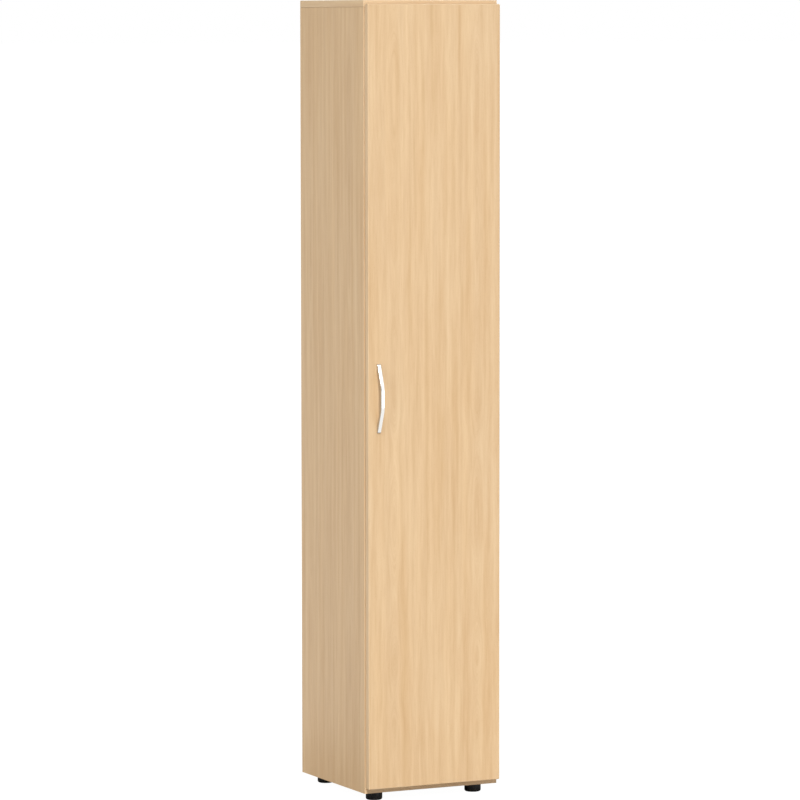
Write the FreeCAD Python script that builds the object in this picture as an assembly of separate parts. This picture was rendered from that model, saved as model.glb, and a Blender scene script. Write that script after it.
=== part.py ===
"""Tall single-door broom cupboard in beech-decor board, built piece by piece.

Millimetres, +X to the right, +Y to the back, +Z up. The origin lies on the floor, in the middle
of the outline of the whole cupboard with its handle. The door is hung on the right-hand side.
"""

import FreeCAD, Part
import math
import os

V = FreeCAD.Vector

# Overall sizes
OVERALL_WIDTH = 400.0
OVERALL_HEIGHT = 2160.0
CARCASS_DEPTH = 400.0
FOOT_HEIGHT = 25.0

# Boards of the carcass
SIDE_THICKNESS = 19.0
TOP_THICKNESS = 19.0
BOTTOM_THICKNESS = 19.0
SHELF_THICKNESS = 19.0
BACK_THICKNESS = 8.0
BACK_REBATE = 9.5
BACK_PLAY = 0.5
CARCASS_BAND = 1.0
CARCASS_BAND_ROUND = 0.6
TOP_BAND = 2.0
TOP_BAND_ROUND = 1.8

# Compartments, counted down from the underside of the top panel
TOP_COMPARTMENT = 250.0
MIDDLE_COMPARTMENT = 232.0
LOOSE_SHELF_SIDE_PLAY = 1.0
LOOSE_SHELF_SETBACK = 8.0

# Door and the gaps around it
DOOR_THICKNESS = 19.0
DOOR_GAP = 3.0
DOOR_SIDE_REVEAL = 2.0
DOOR_TOP_REVEAL = 10.5
DOOR_BOTTOM_REVEAL = 14.0
DOOR_BAND = 2.0
DOOR_BAND_ROUND = 1.8
BUFFER_RADIUS = 5.0
BUFFER_PLAY = 0.4
BUFFER_ROUND = 0.8
BUFFER_END_DISTANCE = 60.0

# Bow handle
HANDLE_LENGTH = 188.0
HANDLE_RISE = 2.0
HANDLE_GRIP = 62.0
HANDLE_FOOT = 21.0
HANDLE_HOLE_SPACING = 160.0
HANDLE_PROJECTION = 29.0
HANDLE_BAR = 9.0
HANDLE_END = 5.0
HANDLE_END_ROUND = 6.0
HANDLE_BEND_ROUND = 50.0
HANDLE_WIDTH = 10.0
HANDLE_ROUND = 1.2
HANDLE_EDGE_DISTANCE = 30.0
HANDLE_SCREW_RADIUS = 2.0
HANDLE_SCREW_BITE = 6.0
HANDLE_SCREW_HEAD_RADIUS = 4.0
HANDLE_SCREW_HEAD_HEIGHT = 2.4
HANDLE_HOLE_PLAY = 0.3

# Single-pivot cup hinge: the cup and pin sit in the door, the arm on a plate on the side panel
HINGE_END_DISTANCE = 100.0
HINGE_BELOW_SHELF = 230.0
PIN_EDGE_DISTANCE = 8.5
PIN_DEPTH = 10.5
PIN_RADIUS = 1.5
PIN_PLAY = 0.05
CUP_RADIUS = 17.5
CUP_EDGE_DISTANCE = 20.5
CUP_DEPTH = 14.5
CUP_WALL = 0.8
CUP_PLAY = 0.1
CUP_FLANGE = 1.2
CUP_FLANGE_HEIGHT = 58.0
CUP_FLANGE_REACH = 18.0
CUP_FLANGE_ROUND = 5.0
CUP_SCREW_OFFSET = 9.5
CUP_SCREW_SPACING = 45.0
CUP_SCREW_RADIUS = 1.75
CUP_SCREW_BITE = 11.0
CUP_SCREW_HEAD_RADIUS = 3.4
CUP_SCREW_HEAD_HEIGHT = 1.3
EAR_RADIUS = 2.7
EAR_THICKNESS = 2.6
EAR_PLAY = 0.4
ARM_HEIGHT = 12.0
ARM_THICKNESS = 2.0
ARM_EYE_RADIUS = 2.7
ARM_NECK_DISTANCE = 9.0
ARM_RISE = 8.0
ARM_SLOPE = 7.0
ARM_LENGTH = 62.0
PLATE_THICKNESS = 4.0
PLATE_TONGUE_START = 18.0
PLATE_TONGUE_HEIGHT = 16.0
PLATE_WING_HEIGHT = 52.0
PLATE_WING_WIDTH = 18.0
PLATE_ROUND = 4.0
PLATE_SETBACK = 37.0
PLATE_SCREW_SPACING = 32.0
PLATE_SCREW_RADIUS = 2.5
PLATE_SCREW_BITE = 11.0
PLATE_SCREW_HEAD_RADIUS = 4.2
PLATE_SCREW_HEAD_HEIGHT = 1.8
ARM_SCREW_SETBACK = 53.0
ARM_SCREW_RADIUS = 2.0
ARM_SCREW_HEAD_RADIUS = 4.0
ARM_SCREW_HEAD_HEIGHT = 2.0
SPRING_THICKNESS = 0.5
SPRING_HEIGHT = 7.0
SPRING_SPAN = 18.0
SPRING_CROWN = 0.8

# Levelling feet
FOOT_RADIUS = 22.5
FOOT_BOTTOM_ROUND = 5.0
FOOT_TOP_ROUND = 1.0
FOOT_SIDE_DISTANCE = 50.0
FOOT_FRONT_DISTANCE = 46.0
FOOT_BACK_DISTANCE = 46.0
FOOT_STOP_PLAY = 0.3
STEM_RADIUS = 5.0
STEM_PLAY = 0.08
STEM_SOCKET_DEPTH = 9.0
STEM_TOP_DROP = 1.0
STEM_KEY_RADIUS = 3.0
STEM_KEY_DEPTH = 5.0
SLEEVE_RADIUS = 10.0
SLEEVE_LENGTH = 15.0
SLEEVE_FLANGE_RADIUS = 14.0
SLEEVE_FLANGE = 2.0
SLEEVE_PLAY = 0.05
KEY_HOLE_RADIUS = 4.5

# Cam fittings and dowels that join the boards
CAM_RADIUS = 7.5
CAM_DEPTH = 14.0
CAM_DISTANCE = 34.0
CAM_SETBACK = 100.0
CAM_SLOT_LENGTH = 9.0
CAM_SLOT_WIDTH = 1.4
CAM_SLOT_DEPTH = 1.6
BOLT_RADIUS = 2.6
BOLT_HEAD_RADIUS = 3.4
BOLT_HEAD_LENGTH = 3.0
BOLT_THREAD_BITE = 11.0
BOLT_BORE_PLAY = 1.0
DOWEL_RADIUS = 4.0
DOWEL_LENGTH = 30.0
DOWEL_BITE = 11.0
DOWEL_END_PLAY = 0.5
DOWEL_FROM_CAM = 40.0
FITTING_PLAY = 0.05

# Shelf pins and the rows of holes for them
PIN_HOLE_RADIUS = 2.5
PIN_HOLE_DEPTH = 12.0
PIN_HOLE_PITCH = 32.0
PIN_HOLES_EACH_WAY = 3
PIN_ROW_FRONT = 37.0
PIN_ROW_BACK = 45.0
SHELF_PIN_BITE = 9.0
SHELF_PIN_REACH = 8.0
SHELF_PIN_COLLAR_RADIUS = 4.0
SHELF_PIN_COLLAR = 0.8
SHELF_PIN_PLAY = 0.05

# Screws of the back panel, and the holes in it for fixing the cupboard to a wall
BACK_SCREW_RADIUS = 1.75
BACK_SCREW_LENGTH = 20.0
BACK_SCREW_HEAD_RADIUS = 3.5
BACK_SCREW_HEAD_HEIGHT = 2.2
BACK_SCREWS_PER_SIDE = 6
BACK_SCREW_END_DISTANCE = 70.0
BACK_SCREW_SPREAD = 200.0
WALL_HOLE_RADIUS = 3.0
WALL_HOLE_SPACING = 160.0
WALL_HOLE_DROP = 60.0

# Hook rail for brooms, on the back panel under the fixed shelf
RAIL_DROP = 150.0
RAIL_LENGTH = 300.0
RAIL_HEIGHT = 36.0
RAIL_THICKNESS = 3.0
RAIL_ROUND = 6.0
RAIL_SCREW_SPACING = 250.0
RAIL_SCREW_RADIUS = 1.75
RAIL_SCREW_BITE = 6.0
RAIL_SCREW_HEAD_RADIUS = 3.5
RAIL_SCREW_HEAD_HEIGHT = 2.0
HOOK_SPACING = 90.0
HOOK_WIDTH = 16.0
HOOK_THICKNESS = 2.5
HOOK_PLATE_HEIGHT = 28.0
HOOK_REACH = 38.0
HOOK_TIP_HEIGHT = 18.0

# Shares for the cross recess in a screw head, and the overrun of every cut
RECESS_SPAN_SHARE = 1.2
RECESS_WIDTH_SHARE = 0.28
RECESS_DEPTH_SHARE = 0.6
OVERRUN = 1.0

# Planes worked out from the sizes above
RIGHT_X = OVERALL_WIDTH / 2
INNER_X = RIGHT_X - SIDE_THICKNESS
TOTAL_DEPTH = CARCASS_DEPTH + DOOR_GAP + DOOR_THICKNESS + HANDLE_PROJECTION
BACK_Y = TOTAL_DEPTH / 2
BACK_FRONT_Y = BACK_Y - BACK_THICKNESS
FRONT_Y = BACK_Y - CARCASS_DEPTH
DOOR_BACK_Y = FRONT_Y - DOOR_GAP
DOOR_FRONT_Y = DOOR_BACK_Y - DOOR_THICKNESS
BOTTOM_Z = FOOT_HEIGHT
FLOOR_Z = BOTTOM_Z + BOTTOM_THICKNESS
SIDE_TOP_Z = OVERALL_HEIGHT - TOP_THICKNESS
LOOSE_SHELF_Z = SIDE_TOP_Z - TOP_COMPARTMENT - SHELF_THICKNESS
FIXED_SHELF_Z = LOOSE_SHELF_Z - MIDDLE_COMPARTMENT - SHELF_THICKNESS
DOOR_RIGHT_X = RIGHT_X - DOOR_SIDE_REVEAL
DOOR_LOW_Z = BOTTOM_Z + DOOR_BOTTOM_REVEAL
DOOR_HIGH_Z = OVERALL_HEIGHT - DOOR_TOP_REVEAL
DOOR_MIDDLE_Z = (DOOR_LOW_Z + DOOR_HIGH_Z) / 2
HANDLE_X = HANDLE_EDGE_DISTANCE - DOOR_RIGHT_X
HANDLE_Z = DOOR_MIDDLE_Z + HANDLE_RISE
PIN_X = DOOR_RIGHT_X - PIN_EDGE_DISTANCE
PIN_Y = DOOR_BACK_Y - PIN_DEPTH
CUP_X = DOOR_RIGHT_X - CUP_EDGE_DISTANCE
PLATE_X = INNER_X - PLATE_THICKNESS
ARM_BACK_X = PLATE_X - ARM_THICKNESS / 2
RAIL_Z = FIXED_SHELF_Z - RAIL_DROP
RAIL_FRONT_Y = BACK_FRONT_Y - RAIL_THICKNESS
SLEEVE_LOW_Z = BOTTOM_Z - SLEEVE_FLANGE
SLEEVE_HIGH_Z = BOTTOM_Z + SLEEVE_LENGTH
FOOT_TOP_Z = SLEEVE_LOW_Z - FOOT_STOP_PLAY

SIDES = (("left", -1), ("right", 1))


def hinge_heights():
    """Heights of the four hinges, kept clear of the shelves."""
    lowest = DOOR_LOW_Z + HINGE_END_DISTANCE
    third = FIXED_SHELF_Z - HINGE_BELOW_SHELF
    highest = DOOR_HIGH_Z - HINGE_END_DISTANCE
    return (lowest, (lowest + third) / 2, third, highest)


def foot_places():
    """Name and plan position of each levelling foot."""
    x = RIGHT_X - FOOT_SIDE_DISTANCE
    front = FRONT_Y + FOOT_FRONT_DISTANCE
    back = BACK_Y - FOOT_BACK_DISTANCE
    return (
        ("front_left", -x, front),
        ("front_right", x, front),
        ("rear_left", -x, back),
        ("rear_right", x, back),
    )


# Small makers that every piece uses


def box(x0, x1, y0, y1, z0, z1):
    """A block between two planes along each axis."""
    low = V(min(x0, x1), min(y0, y1), min(z0, z1))
    return Part.makeBox(abs(x1 - x0), abs(y1 - y0), abs(z1 - z0), low)


def rod(radius, start, end):
    """A round bar between two points."""
    axis = end.sub(start)
    return Part.makeCylinder(radius, axis.Length, start, axis)


def joined(shapes):
    """One solid from shapes that touch or overlap."""
    return shapes[0].multiFuse(shapes[1:]).removeSplitter()


def rounded(shape, radius, wanted):
    """The shape with its wanted edges rounded."""
    return shape.makeFillet(radius, [e for e in shape.Edges if wanted(e)])


def near(a, b):
    """True where two coordinates are the same plane."""
    return math.isclose(a, b, abs_tol=FITTING_PLAY / 2)


def frame(origin, along, depth):
    """Local Z runs along, local X runs into the depth, from the origin."""
    across = along.cross(depth)
    return FreeCAD.Placement(origin, FreeCAD.Rotation(depth, across, along, "ZXY"))


def placed(shape, where):
    """A copy of a shape made at the origin, moved to a local frame."""
    moved = shape.copy()
    moved.Placement = where.multiply(moved.Placement)
    return moved


def cross_recess(head_radius, depth, top):
    """The driver's cross in a screw head whose top lies at height top."""
    half = head_radius * RECESS_SPAN_SHARE / 2
    slim = head_radius * RECESS_WIDTH_SHARE / 2
    low = top - depth
    high = top + OVERRUN
    return [box(-half, half, -slim, slim, low, high), box(-slim, slim, -half, half, low, high)]


def pan_screw(head_radius, head_height, shank_radius, bite):
    """A pan-head screw: its head stands on local Z = 0 and its shank goes down."""
    head = rod(head_radius, V(0, 0, 0), V(0, 0, head_height))
    head = rounded(head, head_height / 2, lambda e: near(e.CenterOfMass.z, head_height))
    whole = joined([head, rod(shank_radius, V(0, 0, -bite), V(0, 0, 0))])
    return whole.cut(cross_recess(head_radius, head_height * RECESS_DEPTH_SHARE, head_height))


def sunk_screw(head_radius, head_height, shank_radius, length):
    """A countersunk screw whose head is flush with local Z = 0."""
    head = Part.makeCone(shank_radius, head_radius, head_height, V(0, 0, -head_height))
    whole = joined([head, rod(shank_radius, V(0, 0, -length), V(0, 0, -head_height))])
    return whole.cut(cross_recess(head_radius, head_height * RECESS_DEPTH_SHARE, 0))


def sunk_hole(head_radius, head_height, shank_radius, length, play):
    """The countersunk hole that a countersunk screw goes into."""
    cone = Part.makeCone(shank_radius + play, head_radius + play, head_height, V(0, 0, -head_height))
    return joined([cone, rod(shank_radius + play, V(0, 0, -length - play), V(0, 0, -head_height))])


def drilled(radius, depth):
    """A plain hole for a screw, from just above local Z = 0 down to the depth."""
    return rod(radius + FITTING_PLAY, V(0, 0, OVERRUN), V(0, 0, -depth - FITTING_PLAY))


def bent_strip(points, thickness, low, high):
    """A strip of even thickness bent along plan points, from height low to high."""
    pieces = []
    for a, b in zip(points, points[1:]):
        run = b.sub(a)
        slab = Part.makeBox(run.Length, thickness, high - low, V(0, -thickness / 2, 0))
        turn = FreeCAD.Rotation(V(1, 0, 0), run)
        pieces.append(placed(slab, FreeCAD.Placement(V(a.x, a.y, low), turn)))
    for p in points[1:-1]:
        pieces.append(rod(thickness / 2, V(p.x, p.y, low), V(p.x, p.y, high)))
    return joined(pieces)


# Cam fittings, dowels and the holes they need in the boards


def cam_rows():
    """Y of the two cam fittings at each board end."""
    return (FRONT_Y + CAM_SETBACK, BACK_FRONT_Y - CAM_SETBACK)


def dowel_rows():
    """Y of the two dowels at each board end, between the cams."""
    front, back = cam_rows()
    return (front + DOWEL_FROM_CAM, back - DOWEL_FROM_CAM)


def joint_frames(rows):
    """(carrying board, its thickness, board it joins, frame) for every fitting in these rows."""
    found = []
    for side, sign in SIDES:
        along = V(sign, 0, 0)
        panel = "side_panel_" + side
        for y in rows:
            bottom = frame(V(sign * INNER_X, y, BOTTOM_Z), along, V(0, 0, 1))
            shelf = frame(V(sign * INNER_X, y, FIXED_SHELF_Z), along, V(0, 0, 1))
            top = frame(V(sign * INNER_X, y, SIDE_TOP_Z), V(0, 0, 1), along)
            found.append(("bottom_panel", BOTTOM_THICKNESS, panel, bottom))
            found.append(("fixed_shelf", SHELF_THICKNESS, panel, shelf))
            found.append((panel, SIDE_THICKNESS, "top_panel", top))
    return found


def cam_bolt(thickness):
    """Bolt that is screwed into the joined board and caught by the cam."""
    x = thickness / 2
    neck_end = -CAM_DISTANCE + BOLT_HEAD_LENGTH
    shank = rod(BOLT_RADIUS, V(x, 0, neck_end), V(x, 0, BOLT_THREAD_BITE))
    head = rod(BOLT_HEAD_RADIUS, V(x, 0, -CAM_DISTANCE), V(x, 0, neck_end))
    return joined([shank, head])


def cam_housing(thickness):
    """Cam housing with a driver slot in its face and a bore for the bolt's head."""
    x = thickness / 2
    middle = -CAM_DISTANCE
    body = rod(CAM_RADIUS, V(0, 0, middle), V(CAM_DEPTH, 0, middle))
    half, slim = CAM_SLOT_LENGTH / 2, CAM_SLOT_WIDTH / 2
    slots = [
        box(-OVERRUN, CAM_SLOT_DEPTH, -half, half, middle - slim, middle + slim),
        box(-OVERRUN, CAM_SLOT_DEPTH, -slim, slim, middle - half, middle + half),
    ]
    low, high = middle - FITTING_PLAY, middle + CAM_RADIUS + OVERRUN
    bore = rod(BOLT_HEAD_RADIUS + FITTING_PLAY, V(x, 0, low), V(x, 0, high))
    return body.cut(slots + [bore])


def cam_bores(thickness):
    """Cut from the carrying board: the cam's bore and the bolt's way to it."""
    x = thickness / 2
    deep = CAM_DEPTH + FITTING_PLAY
    cam = rod(CAM_RADIUS + FITTING_PLAY, V(-OVERRUN, 0, -CAM_DISTANCE), V(deep, 0, -CAM_DISTANCE))
    way = rod(BOLT_RADIUS + BOLT_BORE_PLAY, V(x, 0, -CAM_DISTANCE), V(x, 0, OVERRUN))
    return joined([cam, way])


def bolt_hole(thickness):
    """Cut from the joined board: the hole that the bolt is screwed into."""
    x = thickness / 2
    deep = BOLT_THREAD_BITE + FITTING_PLAY
    return rod(BOLT_RADIUS + FITTING_PLAY, V(x, 0, -OVERRUN), V(x, 0, deep))


def dowel(thickness, play=0.0):
    """Grooveless beech dowel across a joint, or with play its hole."""
    x = thickness / 2
    spare = DOWEL_END_PLAY if play else 0
    low = DOWEL_BITE - DOWEL_LENGTH - spare
    return rod(DOWEL_RADIUS + play, V(x, 0, low), V(x, 0, DOWEL_BITE + spare))


def joint_cuts(board):
    """Everything that the fittings cut out of one board."""
    cuts = []
    for carrier, thickness, mate, where in joint_frames(cam_rows()):
        if board == carrier:
            cuts.append(placed(cam_bores(thickness), where))
        if board == mate:
            cuts.append(placed(bolt_hole(thickness), where))
    for carrier, thickness, mate, where in joint_frames(dowel_rows()):
        if board in (carrier, mate):
            cuts.append(placed(dowel(thickness, FITTING_PLAY), where))
    return cuts


def cam_housings():
    return [placed(cam_housing(t), where) for _, t, _, where in joint_frames(cam_rows())]


def cam_bolts():
    return [placed(cam_bolt(t), where) for _, t, _, where in joint_frames(cam_rows())]


def wood_dowels():
    return [placed(dowel(t), where) for _, t, _, where in joint_frames(dowel_rows())]


# Screws of the back panel


def back_screw_frames():
    """(frame, board that takes the screw) for each screw of the back panel."""
    out_of_the_back, up = V(0, 1, 0), V(0, 0, 1)
    low, high = BOTTOM_Z + BACK_SCREW_END_DISTANCE, SIDE_TOP_Z - BACK_SCREW_END_DISTANCE
    step = (high - low) / (BACK_SCREWS_PER_SIDE - 1)
    places = []
    for side, sign in SIDES:
        x = sign * (INNER_X + BACK_REBATE / 2)
        for i in range(BACK_SCREWS_PER_SIDE):
            places.append((V(x, BACK_Y, low + i * step), "side_panel_" + side))
        x = sign * BACK_SCREW_SPREAD / 2
        places.append((V(x, BACK_Y, BOTTOM_Z + BOTTOM_THICKNESS / 2), "bottom_panel"))
        places.append((V(x, BACK_Y, FIXED_SHELF_Z + SHELF_THICKNESS / 2), "fixed_shelf"))
        places.append((V(x, BACK_Y, SIDE_TOP_Z + BACK_REBATE / 2), "top_panel"))
    return [(frame(p, out_of_the_back, up), board) for p, board in places]


def back_screw_cuts(board=None):
    """Screw holes in one board, or all of them for the back panel."""
    hole = sunk_hole(
        BACK_SCREW_HEAD_RADIUS, BACK_SCREW_HEAD_HEIGHT, BACK_SCREW_RADIUS, BACK_SCREW_LENGTH, FITTING_PLAY
    )
    return [placed(hole, where) for where, taker in back_screw_frames() if board in (None, taker)]


def back_panel_screws():
    screw = sunk_screw(BACK_SCREW_HEAD_RADIUS, BACK_SCREW_HEAD_HEIGHT, BACK_SCREW_RADIUS, BACK_SCREW_LENGTH)
    return [placed(screw, where) for where, _ in back_screw_frames()]


# Shelf pins


def pin_frames(steps):
    """(side name, frame) of pin holes, both sides and both rows, these steps above the loose shelf's own."""
    middle = LOOSE_SHELF_Z - PIN_HOLE_RADIUS
    found = []
    for side, sign in SIDES:
        for y in (FRONT_Y + PIN_ROW_FRONT, BACK_FRONT_Y - PIN_ROW_BACK):
            for step in steps:
                spot = V(sign * INNER_X, y, middle + step * PIN_HOLE_PITCH)
                found.append((side, frame(spot, V(sign, 0, 0), V(0, 0, 1))))
    return found


def pin_hole_cuts(side):
    hole = rod(PIN_HOLE_RADIUS, V(0, 0, -OVERRUN), V(0, 0, PIN_HOLE_DEPTH))
    steps = range(-PIN_HOLES_EACH_WAY, PIN_HOLES_EACH_WAY + 1)
    return [placed(hole, where) for name, where in pin_frames(steps) if name == side]


def shelf_pins():
    """Four pins with a collar, which carry the loose shelf."""
    radius = PIN_HOLE_RADIUS - SHELF_PIN_PLAY
    shank = rod(radius, V(0, 0, -SHELF_PIN_REACH), V(0, 0, SHELF_PIN_BITE))
    collar = rod(SHELF_PIN_COLLAR_RADIUS, V(0, 0, -SHELF_PIN_COLLAR), V(0, 0, 0))
    wide = SHELF_PIN_COLLAR_RADIUS
    above = box(radius, wide, -wide, wide, -SHELF_PIN_COLLAR - OVERRUN, 0)
    pin = joined([shank, collar]).cut(above)
    return [placed(pin, where) for _, where in pin_frames([0])]


# Boards of the carcass


def front_rounded(slab, front, length):
    """A slab with the two long edges of its front rounded as its edge band is."""
    return rounded(
        slab, CARCASS_BAND_ROUND, lambda e: near(e.CenterOfMass.y, front) and near(e.Length, length)
    )


def side_slab(sign):
    """A whole side panel with its front edge band, before it is split and drilled."""
    slab = box(sign * INNER_X, sign * RIGHT_X, FRONT_Y, BACK_Y, BOTTOM_Z, SIDE_TOP_Z)
    return front_rounded(slab, FRONT_Y, SIDE_TOP_Z - BOTTOM_Z)


def carcass_band(slab):
    """The front edge band of a slab."""
    return slab.common(box(-RIGHT_X, RIGHT_X, FRONT_Y, FRONT_Y + CARCASS_BAND, 0, OVERALL_HEIGHT))


def carcass_core(slab):
    """The board behind the front edge band."""
    return slab.common(box(-RIGHT_X, RIGHT_X, FRONT_Y + CARCASS_BAND, BACK_Y, 0, OVERALL_HEIGHT))


def side_panel(side, sign):
    """Side board: rebated for the back, drilled for fittings, pins and, on the right, hinge plates."""
    rebate_x = sign * (INNER_X + BACK_REBATE)
    rebate = box(0, rebate_x, BACK_FRONT_Y, BACK_Y + OVERRUN, 0, OVERALL_HEIGHT)
    cuts = [rebate] + joint_cuts("side_panel_" + side)
    cuts += back_screw_cuts("side_panel_" + side) + pin_hole_cuts(side)
    if side == "right":
        hole = drilled(PLATE_SCREW_RADIUS, PLATE_THICKNESS + PLATE_SCREW_BITE)
        cuts += [placed(hole, where) for where in plate_screw_frames()]
    return carcass_core(side_slab(sign)).cut(cuts)


def shelf_slab(z, thickness, half_width, front, back):
    """A shelf or bottom board with its front edge band, before it is split and drilled."""
    slab = box(-half_width, half_width, front, back, z, z + thickness)
    return front_rounded(slab, front, half_width * 2)


def bottom_slab():
    return shelf_slab(BOTTOM_Z, BOTTOM_THICKNESS, INNER_X, FRONT_Y, BACK_FRONT_Y)


def fixed_slab():
    return shelf_slab(FIXED_SHELF_Z, SHELF_THICKNESS, INNER_X, FRONT_Y, BACK_FRONT_Y)


def loose_slab():
    return shelf_slab(
        LOOSE_SHELF_Z,
        SHELF_THICKNESS,
        INNER_X - LOOSE_SHELF_SIDE_PLAY,
        FRONT_Y + LOOSE_SHELF_SETBACK,
        BACK_FRONT_Y - LOOSE_SHELF_SIDE_PLAY,
    )


def bottom_panel():
    """Bottom board, bored for the sleeves of the feet and for the key that turns their stems."""
    cuts = joint_cuts("bottom_panel") + back_screw_cuts("bottom_panel")
    for _, x, y in foot_places():
        cuts.append(rod(SLEEVE_RADIUS + SLEEVE_PLAY, V(x, y, 0), V(x, y, SLEEVE_HIGH_Z)))
        cuts.append(rod(KEY_HOLE_RADIUS, V(x, y, 0), V(x, y, FLOOR_Z + OVERRUN)))
    return carcass_core(bottom_slab()).cut(cuts)


def fixed_shelf():
    return carcass_core(fixed_slab()).cut(joint_cuts("fixed_shelf") + back_screw_cuts("fixed_shelf"))


def loose_shelf_split():
    """Band and board of the loose shelf, which stands back from the front of the carcass."""
    slab = loose_slab()
    seam = FRONT_Y + LOOSE_SHELF_SETBACK + CARCASS_BAND
    band = slab.common(box(-RIGHT_X, RIGHT_X, FRONT_Y, seam, 0, OVERALL_HEIGHT))
    return band, slab.common(box(-RIGHT_X, RIGHT_X, seam, BACK_Y, 0, OVERALL_HEIGHT))


def top_slab():
    """The whole top board with its front, left and right edge bands, all rounded."""
    slab = box(-RIGHT_X, RIGHT_X, FRONT_Y, BACK_Y, SIDE_TOP_Z, OVERALL_HEIGHT)
    return rounded(slab, TOP_BAND_ROUND, lambda e: not near(e.CenterOfMass.y, BACK_Y))


def top_bands():
    """The three edge bands of the top: front over the full width, the others behind it."""
    slab = top_slab()
    front = slab.common(box(-RIGHT_X, RIGHT_X, FRONT_Y, FRONT_Y + TOP_BAND, 0, OVERALL_HEIGHT))
    bands = {"top_edge_band_front": front}
    inside = RIGHT_X - TOP_BAND
    for side, sign in SIDES:
        strip = box(sign * inside, sign * RIGHT_X, FRONT_Y + TOP_BAND, BACK_Y, 0, OVERALL_HEIGHT)
        bands["top_edge_band_" + side] = slab.common(strip)
    return bands


def top_panel():
    inside = RIGHT_X - TOP_BAND
    core = top_slab().common(box(-inside, inside, FRONT_Y + TOP_BAND, BACK_Y, 0, OVERALL_HEIGHT))
    half = INNER_X + BACK_REBATE
    rebate = box(-half, half, BACK_FRONT_Y, BACK_Y + OVERRUN, 0, SIDE_TOP_Z + BACK_REBATE)
    return core.cut([rebate] + joint_cuts("top_panel") + back_screw_cuts("top_panel"))


def wall_hole_places():
    """Centres of the two wall fixing holes, on the rear face of the back panel."""
    z = SIDE_TOP_Z - WALL_HOLE_DROP
    return [V(sign * WALL_HOLE_SPACING / 2, BACK_Y, z) for _, sign in SIDES]


def back_panel():
    """Back board, lying in the rebates of the sides and the top and behind the bottom."""
    half = INNER_X + BACK_REBATE - BACK_PLAY
    high = SIDE_TOP_Z + BACK_REBATE - BACK_PLAY
    board = box(-half, half, BACK_FRONT_Y, BACK_Y, BOTTOM_Z, high)
    holes = [
        rod(WALL_HOLE_RADIUS, V(p.x, BACK_FRONT_Y - OVERRUN, p.z), V(p.x, BACK_Y + OVERRUN, p.z))
        for p in wall_hole_places()
    ]
    pilot = drilled(RAIL_SCREW_RADIUS, RAIL_THICKNESS + RAIL_SCREW_BITE)
    holes += [placed(pilot, where) for where in rail_screw_frames()]
    return board.cut(holes + back_screw_cuts())


# Hook rail


def rail_screw_frames():
    """Frames of the rail's screws: local Z points out of the rail into the cupboard."""
    half = RAIL_SCREW_SPACING / 2
    return [frame(V(sign * half, RAIL_FRONT_Y, RAIL_Z), V(0, -1, 0), V(0, 0, 1)) for _, sign in SIDES]


def hook_rail():
    half, high = RAIL_LENGTH / 2, RAIL_HEIGHT / 2
    rail = box(-half, half, RAIL_FRONT_Y, BACK_FRONT_Y, RAIL_Z - high, RAIL_Z + high)
    rail = rounded(rail, RAIL_ROUND, lambda e: near(e.Length, RAIL_THICKNESS))
    hole = drilled(RAIL_SCREW_RADIUS, RAIL_THICKNESS)
    return rail.cut([placed(hole, where) for where in rail_screw_frames()])


def hook_rail_screws():
    length = RAIL_THICKNESS + RAIL_SCREW_BITE
    screw = pan_screw(RAIL_SCREW_HEAD_RADIUS, RAIL_SCREW_HEAD_HEIGHT, RAIL_SCREW_RADIUS, length)
    return [placed(screw, where) for where in rail_screw_frames()]


def hook(x):
    """A J-shaped hook of flat steel on the rail: back plate, arm and upturned tip."""
    back = HOOK_THICKNESS / 2
    points = [
        V(back, HOOK_PLATE_HEIGHT, 0),
        V(back, 0, 0),
        V(HOOK_REACH, 0, 0),
        V(HOOK_REACH, HOOK_TIP_HEIGHT, 0),
    ]
    strip = bent_strip(points, HOOK_THICKNESS, -HOOK_WIDTH / 2, HOOK_WIDTH / 2)
    spot = V(x, RAIL_FRONT_Y, RAIL_Z - HOOK_PLATE_HEIGHT / 2)
    return placed(strip, frame(spot, V(1, 0, 0), V(0, -1, 0)))


def hooks():
    """Left, middle and right hook by name."""
    places = (("left", -1), ("middle", 0), ("right", 1))
    return {"broom_hook_" + name: hook(step * HOOK_SPACING) for name, step in places}


# Door


def door_slab():
    """The whole door with its four edge bands, all edges rounded."""
    slab = box(-DOOR_RIGHT_X, DOOR_RIGHT_X, DOOR_FRONT_Y, DOOR_BACK_Y, DOOR_LOW_Z, DOOR_HIGH_Z)
    return slab.makeFillet(DOOR_BAND_ROUND, slab.Edges)


def door_bands():
    """Four edge bands: the upright ones run the full height, the others between them."""
    slab = door_slab()
    inside = DOOR_RIGHT_X - DOOR_BAND
    bands = {}
    for side, sign in SIDES:
        strip = box(sign * inside, sign * DOOR_RIGHT_X, DOOR_FRONT_Y, DOOR_BACK_Y, DOOR_LOW_Z, DOOR_HIGH_Z)
        bands["door_edge_band_" + side] = slab.common(strip)
    ends = (("bottom", DOOR_LOW_Z, DOOR_LOW_Z + DOOR_BAND), ("top", DOOR_HIGH_Z - DOOR_BAND, DOOR_HIGH_Z))
    for name, low, high in ends:
        strip = box(-inside, inside, DOOR_FRONT_Y, DOOR_BACK_Y, low, high)
        bands["door_edge_band_" + name] = slab.common(strip)
    return bands


def handle_screw_frames():
    """Frames of the handle's screws, seated on the back of the door."""
    half = HANDLE_HOLE_SPACING / 2
    return [
        frame(V(HANDLE_X, DOOR_BACK_Y, HANDLE_Z + end * half), V(0, 1, 0), V(0, 0, 1)) for end in (-1, 1)
    ]


def handle_screws():
    length = DOOR_THICKNESS + HANDLE_SCREW_BITE
    screw = pan_screw(HANDLE_SCREW_HEAD_RADIUS, HANDLE_SCREW_HEAD_HEIGHT, HANDLE_SCREW_RADIUS, length)
    return [placed(screw, where) for where in handle_screw_frames()]


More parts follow.
